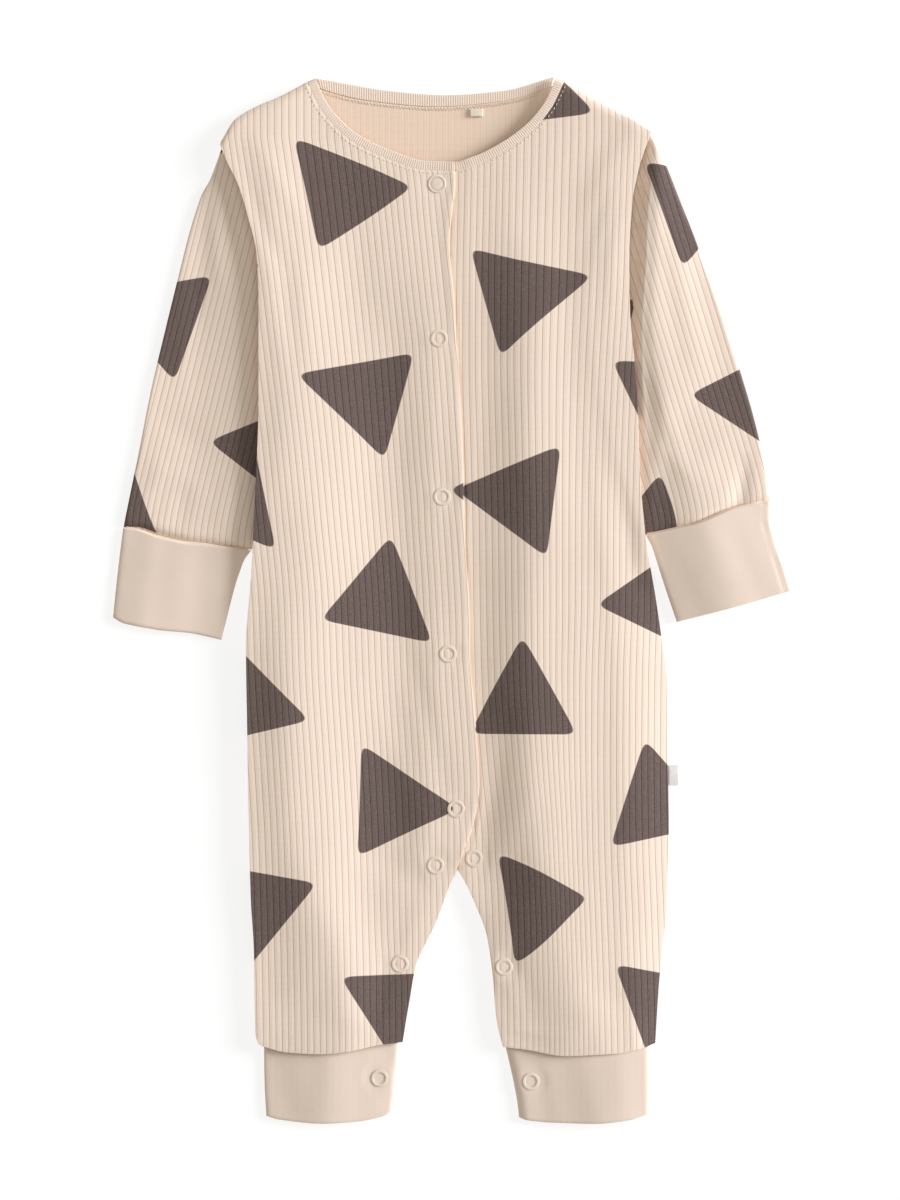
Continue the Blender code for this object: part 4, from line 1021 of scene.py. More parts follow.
def front_panel(name, node, low_edge, high_edge, lean, smooth_top):
    """One front with its leg: ribs on its outer face over a plain inside, with rounded edges all round."""
    cloth = bpy.context.scene.sleepsuit_cloth
    pitch, height = millimetres(cloth.rib_pitch), millimetres(cloth.rib_raise)
    r, x, y, edge = front_grid(low_edge, high_edge, lean)
    x = pull_to_poppers(node, x, y)
    smooth = smooth_top(x, y)
    ribs = rib_height(r, pitch, height) * (1 - popper_hold(node, x, y)) * np.clip(edge / RIB_FADE, 0, 1)
    if name == "right_front":
        ribs = ribs * step(from_placket(x, y) / TURNED_EDGE)
    else:
        beside = np.exp(-((x - placket_edge(y) - CONTACT_AT) / CONTACT_WIDTH) ** 2)
        smooth = smooth - CONTACT * beside * step((y - CROTCH[1]) / CONTACT_FADE)
    skirt = skirt_share(x, y, low_edge, high_edge)
    closed = 1 - rounded(edge, EDGE_ROUND + (EDGE_OFFSETS[1] - EDGE_ROUND) * skirt)
    top = smooth + ribs + dome(node, x, y) - EDGE_DROP * closed
    seam = lift(x, y) + BACK_WALL + SEAM_GAP
    lower = (smooth - WALL) * (1 - skirt) + seam * skirt
    part = wall_part(x, y, top, lower + (top - lower) * closed, r, rim=edge < EDGE_ROUND)
    return stand_in(name, node, [part], "rib_jersey")


class SLEEPSUIT_OT_fronts(bpy.types.Operator):
    """Right and left front with their legs; the right one lies on the left one at the placket"""
    bl_idname = "sleepsuit.fronts"
    bl_label = "Fronts"

    def execute(self, context):
        right = front_panel("right_front", "front_right", right_side, right_front_edge,
                            lean_of(RIGHT_LEAN, RIGHT_LEAN_SPAN), right_front_top)
        left = front_panel("left_front", "front_left", left_front_edge, left_side,
                           lean_of(LEFT_LEAN, LEFT_LEAN_SPAN), left_front_top)
        return {"FINISHED"}


def back_top_line(x):
    """Upper edge of the back: the shoulder line or the back neckline, whichever is lower."""
    below = shoulder(x) - BACK_INSET
    return np.where(over_neck(x), np.minimum(below, back_neck(x)), below)


# Halves of the back, each a grid: low edge, high edge, where its ribs start and end, and whether its outer
# edge is the low one
BACK_HALVES = (
    (moved(right_side, BACK_INSET), forked(middle_line, right_inside_leg), -125, CROTCH[0], True),
    (forked(middle_line, left_inside_leg), moved(left_side, -BACK_INSET), CROTCH[0], 118, False))


class SLEEPSUIT_OT_back(bpy.types.Operator):
    """Back with both legs in one piece, ribbed on its underside"""
    bl_idname = "sleepsuit.back"
    bl_label = "Back"

    def execute(self, context):
        cloth = context.scene.sleepsuit_cloth
        pitch, height = millimetres(cloth.rib_pitch), millimetres(cloth.rib_raise)
        level, row = body_levels(BACK_ROW_STEP), body_row(back_top_line)
        grids, edges = [], []
        for low_edge, high_edge, start, end, low_is_outer in BACK_HALVES:
            (low, _), (high, _) = edge_place(low_edge, row, level), edge_place(high_edge, row, level)
            x = span_columns(low, high, rib_places(start, end, pitch, BACK_RIB_COLUMNS)[None, :])
            outer, inner = (x - low, high - x) if low_is_outer else (high - x, x - low)
            above = np.hypot(x - CROTCH[0], row(x, level) - CROTCH[1])
            edges.append(np.minimum(outer, np.where(level > CROTCH[1], above, inner)))
            grids.append(x)
        x = np.concatenate(grids, axis=1)
        y = row(x, level)
        ends = (np.abs(back_top_line(x) - y), np.abs(y - hem(x)))
        edge = np.minimum.reduce([np.concatenate(edges, axis=1), *ends])
        drop = np.zeros((x.shape[0] - 1, x.shape[1] - 1), bool)
        drop[:, grids[0].shape[1] - 1] = True
        middle, half = lift(x, y) + BACK_WALL / 2, BACK_WALL / 2 * rounded(edge)
        groove = (height - rib_height(x, pitch, height)) * np.clip(edge / RIB_FADE, 0, 1)
        top, bottom = middle + half - BACK_INNER_RIBS * groove, middle - half + groove
        part = wall_part(x, y, top, bottom, x, side_top=0.0, drop=drop)
        piece = stand_in("back", "back_panel", [part], "rib_jersey")
        return {"FINISHED"}


# ---- sleeves and cuffs ---------------------------------------------------------------------------

FOLD_RADIUS = 1.4         # of a flattened tube
FOLD_LEVEL = 0.75         # how high a fold lies between the underside and the top
CUFF_REACH = 260          # columns of a cuff are laid out this far to each side, and held at its folds
PLAN_HALF, RIB_MARGIN = 200.0, 60.0    # ribs of a sleeve: half the width of the plan, and a margin
INSIDE_LOW = 1.1          # a tube's inside lies at this height over the floor
INSIDE_ROUND = 1.0        # radius of a fold of the inside
# A point of a ring: plan place, place across the ribs and along the tube, distance from the nearer fold,
# and share of the way from the low edge to the high one
Place = namedtuple("Place", "x y r v fold across")


class Tube:
    """A flattened sleeve or cuff, worked out in a frame that leans with it.

    u runs across the tube and v along it. A row lies a share of the way from the low end's curve to the
    high end's. The outside is a ring of the top and the underside; the inside is the same ring, drawn in.
    """

    def __init__(self, lean, low_edge, high_edge, low_end, high_end):
        self.sin, self.cos = math.sin(lean), math.cos(lean)
        self.low_edge = smooth_curve(swapped(self.to_uv(low_edge)))
        self.high_edge = smooth_curve(swapped(self.to_uv(high_edge)))
        self.low_end, self.high_end = smooth_curve(self.to_uv(low_end)), smooth_curve(self.to_uv(high_end))

    def to_uv(self, table):
        """Rows (x, y) as rows (u, v)."""
        return [(x * self.cos - y * self.sin, x * self.sin + y * self.cos) for x, y in table]

    def to_plan(self, u, v):
        """x and y of points at u and v."""
        return u * self.cos + v * self.sin, v * self.cos - u * self.sin

    def row(self, u, share, shift=0.0):
        """v of a row at u, moved along by a shift."""
        return self.low_end(u) + (self.high_end(u) - self.low_end(u)) * share + shift

    def meet(self, edge, share):
        """u where each row meets an edge: u follows from v and v from u, so the two are run in turn."""
        u = edge(self.row(0.0, share))
        for _ in range(20):
            u = 0.5 * (u + edge(self.row(u, share)))
        return u

    def rings(self, shares, places, top, bottom, inset=0.0, along=0.0, radius=FOLD_RADIUS, bend=0.0):
        """Closed rings for each share: over the top from the low edge to the high one, and back underneath.

        top and bottom give z at a Place. The fold between them is round: z closes to its level as a quarter
        circle of the radius. The ribs bend near the low end: u = r - bend * exp(-(v - low end) / WRIST_TURN).
        """
        share = np.asarray(shares, float)[:, None]
        low, high = self.meet(self.low_edge, share) + inset, self.meet(self.high_edge, share) - inset
        middle_u = 0.5 * (low + high)
        from_end = self.row(middle_u, share) - self.low_end(middle_u)
        shift = bend * np.exp(-from_end / WRIST_TURN)
        u = span_columns(low, high, places[None, :] - shift)
        v = self.row(u, share, along)
        x, y = self.to_plan(u, v)
        fold = np.minimum(u - low, high - u)
        r = u + shift
        place = Place(x, y, r, v, fold, (u - low) / (high - low))
        over, under = top(place), bottom(place)
        middle = under + FOLD_LEVEL * (over - under)
        share_of_half = rounded(fold, radius)
        upper = np.stack((x, y, middle + (over - middle) * share_of_half), axis=-1)
        lower = np.stack((x, y, middle + (under - middle) * share_of_half), axis=-1)
        points = np.concatenate((upper, lower[:, ::-1]), axis=1)
        marks = np.stack((np.concatenate((r, 2 * high - r[:, ::-1]), axis=1),
                          np.concatenate((v, v[:, ::-1]), axis=1)), axis=-1)
        return points, marks


def flat_side(height):
    """A side of a tube at one height."""
    def value(p):
        return np.full_like(p.x, height)
    return value


def off_fold(p, length):
    """0 at a tube's folds and near 1 away from them: 1 - exp(-distance / length)."""
    return 1 - np.exp(-p.fold / length)


SLEEVE_BASE = 2.6         # height of the flattened sleeve where the body lies on it
WRIST_TURN = 9.0          # length above the cuff in which the ribs turn
WRIST_SEAM, WRIST_SEAM_WIDTH = 1.9, 1.9        # how deep the cuff's seam draws the sleeve in, and how far up
SLEEVE_EASE = 2.5         # the sleeve's top rises from its fold over this length
WRINKLE_EASE = 5.0        # and its creases over this one
WRINKLE_START, WRINKLE_FADE = -4.0, 10.0       # they start under the body's edge and are full further out
SLEEVE_RIB_FADE = 1.5
SLEEVE_ENDS = [0, 0.002, 0.006, 0.012]         # close rows at the cuff's seam
SLEEVE_ROWS, SLEEVE_INNER_ROWS = 84, 12
SLEEVE_INSIDE_TOP = 1.25  # lowest top of the inside
SLEEVE_INSET = 1.3        # from the outside's folds to the inside's
# Long folds of the sleeves, measured outwards from the body's edge. Columns: y, where the sleeve starts to
# rise, then pairs of place and z: on the right sleeve its ridge and outer edge, on the left one the top of
# the steep flank beside the body, ridge and outer edge
RIGHT_SLEEVE_LINES = [
    (238, 0, 2, 2.9, 10, 2.8), (205, 0, 4, 3.2, 24, 2.4), (170, 0, 5, 3.5, 33, 2.3),
    (130, 0, 5, 3.6, 35, 2.3), (90, 0, 5, 3.6, 36, 2.4), (50, 0, 5, 3.3, 40, 2.7), (30, 0, 5, 2.8, 44, 2.9)]
LEFT_SLEEVE_LINES = [
    (238, 1, 3.5, 4.5, 6, 5.2, 12, 4.4), (215, 5.5, 8.0, 7.0, 13, 7.6, 25, 5.4),
    (200, 5.5, 8.2, 7.4, 14, 8.0, 31, 5.2), (185, 5.8, 8.4, 7.4, 15, 8.0, 38, 5.0),
    (170, 4.8, 7.4, 7.4, 14, 8.0, 43, 4.8), (155, 3.6, 6.2, 7.0, 13, 7.6, 47, 4.4),
    (140, 2.4, 5.0, 6.2, 12, 7.0, 51, 4.0), (120, 0.8, 3.6, 5.2, 12, 6.2, 56, 3.4),
    (100, 0, 4, 4.0, 14, 5.4, 60, 3.0), (80, 0, 4, 3.4, 16, 4.9, 64, 2.8), (60, 0, 6, 3.4, 29, 5.0, 66, 2.8),
    (34, 0, 6, 3.0, 32, 5.2, 70, 3.0)]


def sleeve(name, node, tube, body_edge, side, lines, crease_table):
    """A ribbed sleeve: low under the body, with a ridge and a fall to its outer edge beside it, drawn in and
    down at the cuff's seam, where its ribs turn to run down into the cuff."""
    cloth = bpy.context.scene.sleepsuit_cloth
    pitch, height = millimetres(cloth.rib_pitch), millimetres(cloth.rib_raise)
    folds = curves_of(lines)

    def smooth(p):
        """The folds over their base, and creases; the outer fold of the left sleeve stays firm."""
        start, *pairs = (c(p.y) for c in folds)
        past = side * (p.x - body_edge(p.y))
        rise = lofted(past, [(start, SLEEVE_BASE), *zip(pairs[::2], pairs[1::2])]) - SLEEVE_BASE
        firm = (side > 0) & (p.across > 0.5)
        shown = step((past - WRINKLE_START) / WRINKLE_FADE) * off_fold(p, WRINKLE_EASE)
        wrinkles = creases(crease_table, p.x, p.y) * shown
        return SLEEVE_BASE + rise * np.where(firm, 1.0, off_fold(p, SLEEVE_EASE)) + wrinkles

    def drawn_in(p):
        """The smooth top, sunk at the cuff's seam by a bell along the sleeve."""
        return smooth(p) - WRIST_SEAM * np.exp(-((p.v - tube.low_end(p.r)) / WRIST_SEAM_WIDTH) ** 2)

    def top(p):
        """The drawn-in top with its ribs."""
        return drawn_in(p) + rib_height(p.r, pitch, height) * np.clip(p.fold / SLEEVE_RIB_FADE, 0, 1)

    def bottom(p):
        """The underside: rib crests on the floor."""
        return height - rib_height(p.r, pitch, height)

    def inner_top(p):
        """A wall under the top, and never on the underside."""
        return np.maximum(drawn_in(p) - WALL, SLEEVE_INSIDE_TOP)

    reach = PLAN_HALF * tube.cos + RIB_MARGIN
    places = rib_places(-reach, reach, pitch)
    shares = np.concatenate((SLEEVE_ENDS, np.linspace(0.02, 1, SLEEVE_ROWS)))
    inner_shares = np.linspace(0.001, 1, SLEEVE_INNER_ROWS)
    outside = tube.rings(shares, places, top, bottom, bend=-tube.sin / tube.cos * WRIST_TURN)
    inside = tube.rings(inner_shares, places, inner_top, flat_side(INSIDE_LOW), SLEEVE_INSET,
                        radius=INSIDE_ROUND)
    piece = stand_in(name, node, [tube_part(outside, inside)], "rib_jersey")


class SLEEPSUIT_OT_sleeves(bpy.types.Operator):
    """Both sleeves, flattened tubes that are tucked under the body's sides"""
    bl_idname = "sleepsuit.sleeves"
    bl_label = "Sleeves"

    def execute(self, context):
        right = Tube(SLEEVE_LEAN_RIGHT, RIGHT_SLEEVE_OUTER, RIGHT_SLEEVE_INNER, RIGHT_CUFF_TOP,
                     [(-122.2, 238.8), (-115.8, 238.2)])
        left = Tube(SLEEVE_LEAN_LEFT, LEFT_SLEEVE_INNER, LEFT_SLEEVE_OUTER, LEFT_CUFF_TOP,
                    [(98.5, 244.0), (105.7, 246.2)])
        sleeve("right_sleeve", "sleeve_right", right, right_side, -1, RIGHT_SLEEVE_LINES,
               SLEEVE_RIGHT_CREASES)
        sleeve("left_sleeve", "sleeve_left", left, left_side, 1, LEFT_SLEEVE_LINES, SLEEVE_LEFT_CREASES)
        return {"FINISHED"}


# Tops of the cuffs. Columns: share of the way across from the lower x to the higher x, z
RIGHT_WRIST_TOP = [(0, 2.2), (0.3, 3.4), (0.45, 3.4), (0.75, 2.9), (1, 2.5)]
LEFT_WRIST_TOP = [(0, 2.6), (0.15, 3.7), (0.47, 5.5), (0.75, 4.3), (1, 3.2)]
RIGHT_ANKLE_TOP = [(0, 2.2), (0.3, 3.9), (0.5, 5.0), (0.75, 4.3), (1, 3.7)]
LEFT_ANKLE_TOP = [(0, 2.0), (0.06, 3.2), (0.2, 3.6), (0.3, 4.1), (0.76, 5.9), (1, 4.8)]
CUFF_BANDS = [(0, 31, 0.05), (7, 19, 0.04), (3, 47, 0.05)]      # lengthwise waves: start, wave length, height
BAND_TURN = 0.06          # how much the waves shift along the cuff
CUFF_EASE = 3.0           # waves and grooves rise from the fold over this length
TURNED_WALL, ANKLE_WALL = 1.9, 1.1
SIDE_GROOVE, SIDE_GROOVE_AT, SIDE_GROOVE_WIDTH = 0.7, 3.0, 0.4     # depth, distance from the fold, half width
CUFF_END_ROUND = 1.3      # radius of a cuff's end
CUFF_TOP_ROUND, CUFF_TOP_SHARE = 0.5, 0.1      # radius of its other edge, and where on the round it starts
CUFF_END_LIFT = 0.9       # how far the underside rises at the ends
CUFF_INSIDE_TOP, CUFF_INSET = 1.2, 1.2
CUFF_COLUMN, CUFF_ROWS = 1.6, 22
CUFF_ENDS = np.array([0, 0.004, 0.012, 0.03])
# The second layer of a turned-back cuff stands out of it, and shows as a sliver between two places across
LAYER_ALONG, LAYER_LOW, LAYER_LEAST = 0.9, 0.7, 1.3
LAYER_UNDER, LAYER_WALL = 0.1, 0.4             # from the cuff's top down to the layer's, and the layer's wall
SLIVER, SLIVER_FROM, SLIVER_TO = 1.3, (0.3, 0.44), (0.9, 0.98)


def turned_layer(tube, places, smooth):
    """The second layer of a turned-back cuff, a short tube inside it at its free edge."""
    def layer_top(p):
        """Below the cuff's wall, and up to its top where the sliver shows."""
        (rise_at, risen_at), (fall_at, fallen_at) = SLIVER_FROM, SLIVER_TO
        rise = step((p.across - rise_at) / (risen_at - rise_at))
        fall = 1 - step((p.across - fall_at) / (fallen_at - fall_at))
        return np.maximum(smooth(p) - TURNED_WALL - LAYER_UNDER, LAYER_LEAST) + SLIVER * rise * fall

    def inner_top(p):
        """A wall under the layer's top, without the sliver."""
        return np.maximum(smooth(p) - TURNED_WALL - LAYER_UNDER - LAYER_WALL, CUFF_INSIDE_TOP)

    outside = tube.rings([0.9, 0.95, 1], places, layer_top, flat_side(LAYER_LOW), 1.3, LAYER_ALONG, 1.0)
    inside = tube.rings([0.9, 1], places, inner_top, flat_side(INSIDE_LOW), 1.9, LAYER_ALONG, 0.6)
    return tube_part(outside, inside, side=0.0)


def cuff(name, node, tube, profile, turned_back, groove=None):
    """A plain cuff: a soft-edged tube with lengthwise bands, rounded at its end, and a second layer inside
    where it is turned back, which shows as a sliver at the seam."""
    height_across = smooth_curve(profile)
    wall = TURNED_WALL if turned_back else ANKLE_WALL

    def smooth(p):
        """The profile across, with bands: waves across that shift a little along the cuff."""
        bands = sum(a * np.cos(2 * math.pi * (p.r - c) / w + BAND_TURN * p.v) for c, w, a in CUFF_BANDS)
        added = groove(p) if groove else 0.0
        return height_across(p.across) + (bands + added) * off_fold(p, CUFF_EASE)

    def level(p):
        """The same, level round the popper that the cuff carries."""
        result = smooth(p)
        for popper, (px, py) in popper_places(node).items():
            u, v = tube.to_uv([(px, py)])[0]
            low = tube.low_edge(v)
            SEATS[popper] = height_across((u - low) / (tube.high_edge(v) - low))
            hold = flat_share(np.hypot(p.x - px, p.y - py))
            result = (1 - hold) * result + hold * SEATS[popper]
        return result

    def end_share(p):
        """Share of the wall that is left at both ends."""
        free_edge = rounded(tube.high_end(p.r) - p.v + CUFF_TOP_SHARE, CUFF_TOP_ROUND)
        return rounded(p.v - tube.low_end(p.r), CUFF_END_ROUND) * free_edge

    def top(p):
        """The level top, which falls to the wall's middle at the ends."""
        return level(p) - wall / 2 * (1 - end_share(p))

    def bottom(p):
        """The floor, and above it at the ends."""
        return CUFF_END_LIFT * (1 - end_share(p))

    def inner_top(p):
        """A wall under the top, and never on the underside."""
        return np.maximum(level(p) - wall / 2 * (1 + end_share(p)), CUFF_INSIDE_TOP)

    places = np.arange(-CUFF_REACH, CUFF_REACH, CUFF_COLUMN)
    shares = np.concatenate((CUFF_ENDS, np.linspace(0.05, 0.95, CUFF_ROWS), 1 - CUFF_ENDS[::-1]))
    outside = tube.rings(shares, places, top, bottom)
    inside = tube.rings([0, 0.03, 0.3, 0.6, 0.97, 1], places, inner_top, flat_side(INSIDE_LOW), CUFF_INSET,
                        radius=INSIDE_ROUND)
    parts = [tube_part(outside, inside)]
    if turned_back:
        parts.append(turned_layer(tube, places, smooth))
    piece = stand_in(name, node, parts, "plain_jersey")


def side_groove(p):
    """A groove beside the high fold, where the front layer's fold stops short of the back layer's."""
    bell = np.exp(-((p.fold - SIDE_GROOVE_AT) / SIDE_GROOVE_WIDTH) ** 2)
    return -SIDE_GROOVE * bell * (p.across > 0.5)


def lowered(table, gap=SEAM_GAP):
    """A curve of (x, y) rows moved down by a gap."""
    return [(x, y - gap) for x, y in table]


class SLEEPSUIT_OT_cuffs(bpy.types.Operator):
    """Wrist cuffs, turned back, and ankle cuffs"""
    bl_idname = "sleepsuit.cuffs"
    bl_label = "Cuffs"

    def execute(self, context):
        right = Tube(SLEEVE_LEAN_RIGHT, RIGHT_CUFF_OUTER, RIGHT_CUFF_INNER, RIGHT_CUFF_END, RIGHT_FREE_EDGE)
        left = Tube(SLEEVE_LEAN_LEFT, LEFT_CUFF_INNER, LEFT_CUFF_OUTER, LEFT_CUFF_END, LEFT_FREE_EDGE)
        cuff("right_wrist_cuff", "wrist_cuff_right", right, RIGHT_WRIST_TOP, True)
        cuff("left_wrist_cuff", "wrist_cuff_left", left, LEFT_WRIST_TOP, True, side_groove)
        right = Tube(0.0, RIGHT_ANKLE_OUTER, RIGHT_ANKLE_INNER, RIGHT_ANKLE_END, lowered(RIGHT_HEM, HEM_GAP))
        left = Tube(0.0, LEFT_ANKLE_INNER, LEFT_ANKLE_OUTER, LEFT_ANKLE_END, lowered(LEFT_HEM, HEM_GAP))
        cuff("right_ankle_cuff", "ankle_cuff_right", right, RIGHT_ANKLE_TOP, False)
        cuff("left_ankle_cuff", "ankle_cuff_left", left, LEFT_ANKLE_TOP, False)
        return {"FINISHED"}


# ---- neck ----------------------------------------------------------------------------------------

SLOPE_STEP = 0.3
BINDING_WIDTH, BINDING_PROUD, BINDING_DEEP = 4.3, 0.12, 1.3
BINDING_EDGE = 0.8        # level of its edges, as a share of its height
BINDING_LAP = 0.1         # the seam draws the binding this far onto the panel's rounded edge
BINDING_END = 0.2         # radius of its ends
BINDING_RIB = 0.16        # height of its fine ribs
BACK_BINDING_HIGH, BACK_BINDING_LEAST = 1.7, 1.3
BACK_BINDING_LEAN, BACK_LEAN_REACH = 0.36, 4.0 # its ends lean to meet the front bindings
# Pieces of the front binding: name, node, x from and to, and the top that it lies on
FRONT_BINDINGS = (
    ("right_neck_binding", "neck_binding_right", -76.3, 1.75, right_front_top),
    ("left_neck_binding", "neck_binding_left", 2.05, 59.8, left_front_top))
BACK_BINDING_SPAN = (-70.2, 53.4)


def even_path(curve, x_from, x_to, spacing):
    """Even steps along a curve y(x): places, unit normals that point up, and the length from the start."""
    xs = np.linspace(x_from, x_to, 2000)
    ys = curve(xs)
    lengths = np.concatenate(([0], np.cumsum(np.hypot(np.diff(xs), np.diff(ys)))))
    along = np.linspace(0, lengths[-1], round(lengths[-1] / spacing))
    x, y = np.interp(along, lengths, xs), np.interp(along, lengths, ys)
    slope = (curve(x + SLOPE_STEP) - curve(x - SLOPE_STEP)) / (2 * SLOPE_STEP)
    size = np.hypot(1, slope)
    return x, y, -slope / size, 1 / size, along


def end_cap(one, other):
    """Quads between two lines of corner numbers, which close the end of a section."""
    return np.stack((one[:-1], other[:-1], other[1:], one[1:]), axis=-1)


def binding(name, node, place, across, width, low_z, high_z, along):
    """A rib band along a path: its section is a flat-bottomed arch, width across and from low_z to high_z.

    The angle a runs round the section: across = width (1 - cos a) / 2 and the height is a sine raised to
    0.2, so that the top is broad. The fine ribs raise it a little.
    """
    pitch = millimetres(bpy.context.scene.sleepsuit_cloth.fine_rib_pitch)
    a = np.linspace(0, math.pi, 15)
    over, arch = (1 - np.cos(a)) / 2, np.sin(a) ** 0.2
    arch[[0, -1]] = 0
    under = over[-2:0:-1]
    share = np.concatenate((over, under))[None, :]
    rise = np.concatenate((arch, np.zeros_like(under)))[None, :]
    crest = 0.5 + 0.5 * np.cos(2 * math.pi * along / pitch)[:, None]
    low, tall = low_z[:, None], (high_z - low_z)[:, None]
    ends = rounded(np.minimum(along, along[-1] - along), BINDING_END)[:, None]
    z = low + BINDING_EDGE * tall + rise * ((1 - BINDING_EDGE) * tall + BINDING_RIB * (crest - 1)) * ends
    z = np.where(np.arange(share.size)[None, :] >= len(over), low, z)
    wide = width[:, None] * share
    x, y = (start[:, None] + way[:, None] * wide for start, way in zip(place, across))
    marks = np.stack(np.broadcast_arrays(along[:, None], wide, 1.0), axis=-1)
    rows, columns = wide.shape
    half = len(over)
    cap = end_cap(np.arange(half), np.concatenate(([0], np.arange(half, columns)[::-1], [half - 1])))
    faces = np.concatenate((quads(rows, columns, False, True), cap, cap[:, ::-1] + (rows - 1) * columns))
    return stand_in(name, node, [(np.stack((x, y, z), axis=-1), faces, marks)], "fine_rib")


class SLEEPSUIT_OT_neck(bpy.types.Operator):
    """Fine rib binding of the neckline, in three pieces, open at the centre front"""
    bl_idname = "sleepsuit.neck"
    bl_label = "Neck binding"

    def execute(self, context):
        spacing = millimetres(context.scene.sleepsuit_cloth.fine_rib_pitch) / 4
        for name, node, x_from, x_to, smooth_top in FRONT_BINDINGS:
            x, y, nx, ny, along = even_path(front_neck, x_from, x_to, spacing)
            edge = smooth_top(x, y)
            place = x - nx * BINDING_LAP, y - ny * BINDING_LAP
            width = np.full_like(x, BINDING_WIDTH + SEAM_GAP + BINDING_LAP)
            low, high, length = edge - BINDING_DEEP, edge + BINDING_PROUD, along[-1] * MM
            piece = binding(name, node, place, (nx, ny), width, low, high, along)
        x, y, _, _, along = even_path(back_neck, *BACK_BINDING_SPAN, spacing)
        width = np.maximum(back_neck_top(x) - y, BACK_BINDING_LEAST) + BINDING_LAP
        low, length = np.zeros_like(x), along[-1] * MM
        lean = np.exp((x - x[-1]) / BACK_LEAN_REACH) - np.exp((x[0] - x) / BACK_LEAN_REACH)
        across = BACK_BINDING_LEAN * lean, np.ones_like(x)
        piece = binding("back_neck_binding", "neck_binding_back", (x, y - BINDING_LAP), across, width, low,
                        low + BACK_BINDING_HIGH, along)
        return {"FINISHED"}


# ---- trims ---------------------------------------------------------------------------------------

def turned_part(profile, x, y, z, sides=48):
    """A profile of (radius, height) turned about the vertical through (x, y)."""
    radius, height = np.array(profile, float).T
    turn = np.linspace(0, 2 * math.pi, sides, endpoint=False)[None, :]
    points = np.stack((x + radius[:, None] * np.cos(turn), y + radius[:, None] * np.sin(turn),
                       z + height[:, None] + 0.0 * turn), axis=-1)
    closed = profile[0][0] > 0
    marks = np.stack(np.broadcast_arrays(radius[:, None], height[:, None], 0.0 * turn), axis=-1)
    return points, quads(len(profile), sides, closed, True), marks


# Section of an open ring popper: middle and half of its band, height of its foot and of the arch over it
RING_MIDDLE, RING_HALF, RING_FOOT, RING_ARCH = 3.75, 0.9, 0.04, 0.26
# Section of the capped popper, a shallow dish with a rounded rim. Columns: radius, height
CAP_PROFILE = [
    (0, 0.0), (4.9, 0.0), (4.9, 0.1), (4.82, 0.2), (4.6, 0.28), (4.2, 0.31), (3.9, 0.28), (3.7, 0.2),
    (3.5, 0.17), (3.0, 0.22), (2.0, 0.28), (1.0, 0.31), (0, 0.32)]


def ring_profile():
    """Section of an open ring popper: a soft D, flat below, whose height is a sine raised to 0.6."""
    arch = [(RING_MIDDLE - RING_HALF * math.cos(t), RING_FOOT + RING_ARCH * math.sin(t) ** 0.6)
            for t in np.linspace(0, math.pi, 13)]
    return arch + [(RING_MIDDLE + RING_HALF, 0.0), (RING_MIDDLE - RING_HALF, 0.0)]


class SLEEPSUIT_OT_poppers(bpy.types.Operator):
    """Ten open ring poppers and the capped one at the neck"""
    bl_idname = "sleepsuit.poppers"
    bl_label = "Poppers"

    def execute(self, context):
        tops = {"front_right": right_front_top, "front_left": left_front_top}
        for node, (x, y) in popper_places().items():
            if CARRIERS[node] in tops:
                SEATS[node] = tops[CARRIERS[node]](np.array([x]), np.array([y]))[0]
            kind, profile = ("cap_", CAP_PROFILE) if node == "popper_neck" else ("ring_", ring_profile())
            part = turned_part(profile, x, y, SEATS[node] + POPPER_GAP)
            stand_in(kind + node, node, [part], "popper_resin")
        return {"FINISHED"}


TAPE_MARGIN = 0.6         # the even places of a tape start this far from its edges
TAB_ROUND, TAB_SWELL = 0.25, 0.1
LOOP_WALL, LOOP_WAVE, LOOP_RISE = 0.22, 0.18, 0.2
LOOP_ENDS = [0, 0.15]


def tape_places(low, high, ends, count):
    """Places from low to high: close ones at both ends, even ones between."""
    ends = np.array(ends)
    middle = np.linspace(low + TAPE_MARGIN, high - TAPE_MARGIN, count)
    return np.concatenate((low + ends, middle, high - ends[::-1]))


def tape_part(low, high):
    """A tape between two corners: a thin wall with rounded edges whose middle swells by a sine each way."""
    ends = [0, 0.06, TAB_ROUND]
    x, y = np.meshgrid(*(tape_places(low[k], high[k], ends, 12) for k in (0, 1)))
    edge = np.minimum.reduce([x - low[0], high[0] - x, y - low[1], high[1] - y])
    across, along = (x - low[0]) / (high[0] - low[0]), (y - low[1]) / (high[1] - low[1])
    swell = TAB_SWELL * np.sin(math.pi * across) * np.sin(math.pi * along)
    middle, half = 0.5 * (low[2] + high[2]) + swell, 0.5 * (high[2] - low[2]) * rounded(edge, TAB_ROUND)
    return wall_part(x, y, middle + half, middle - half, x)


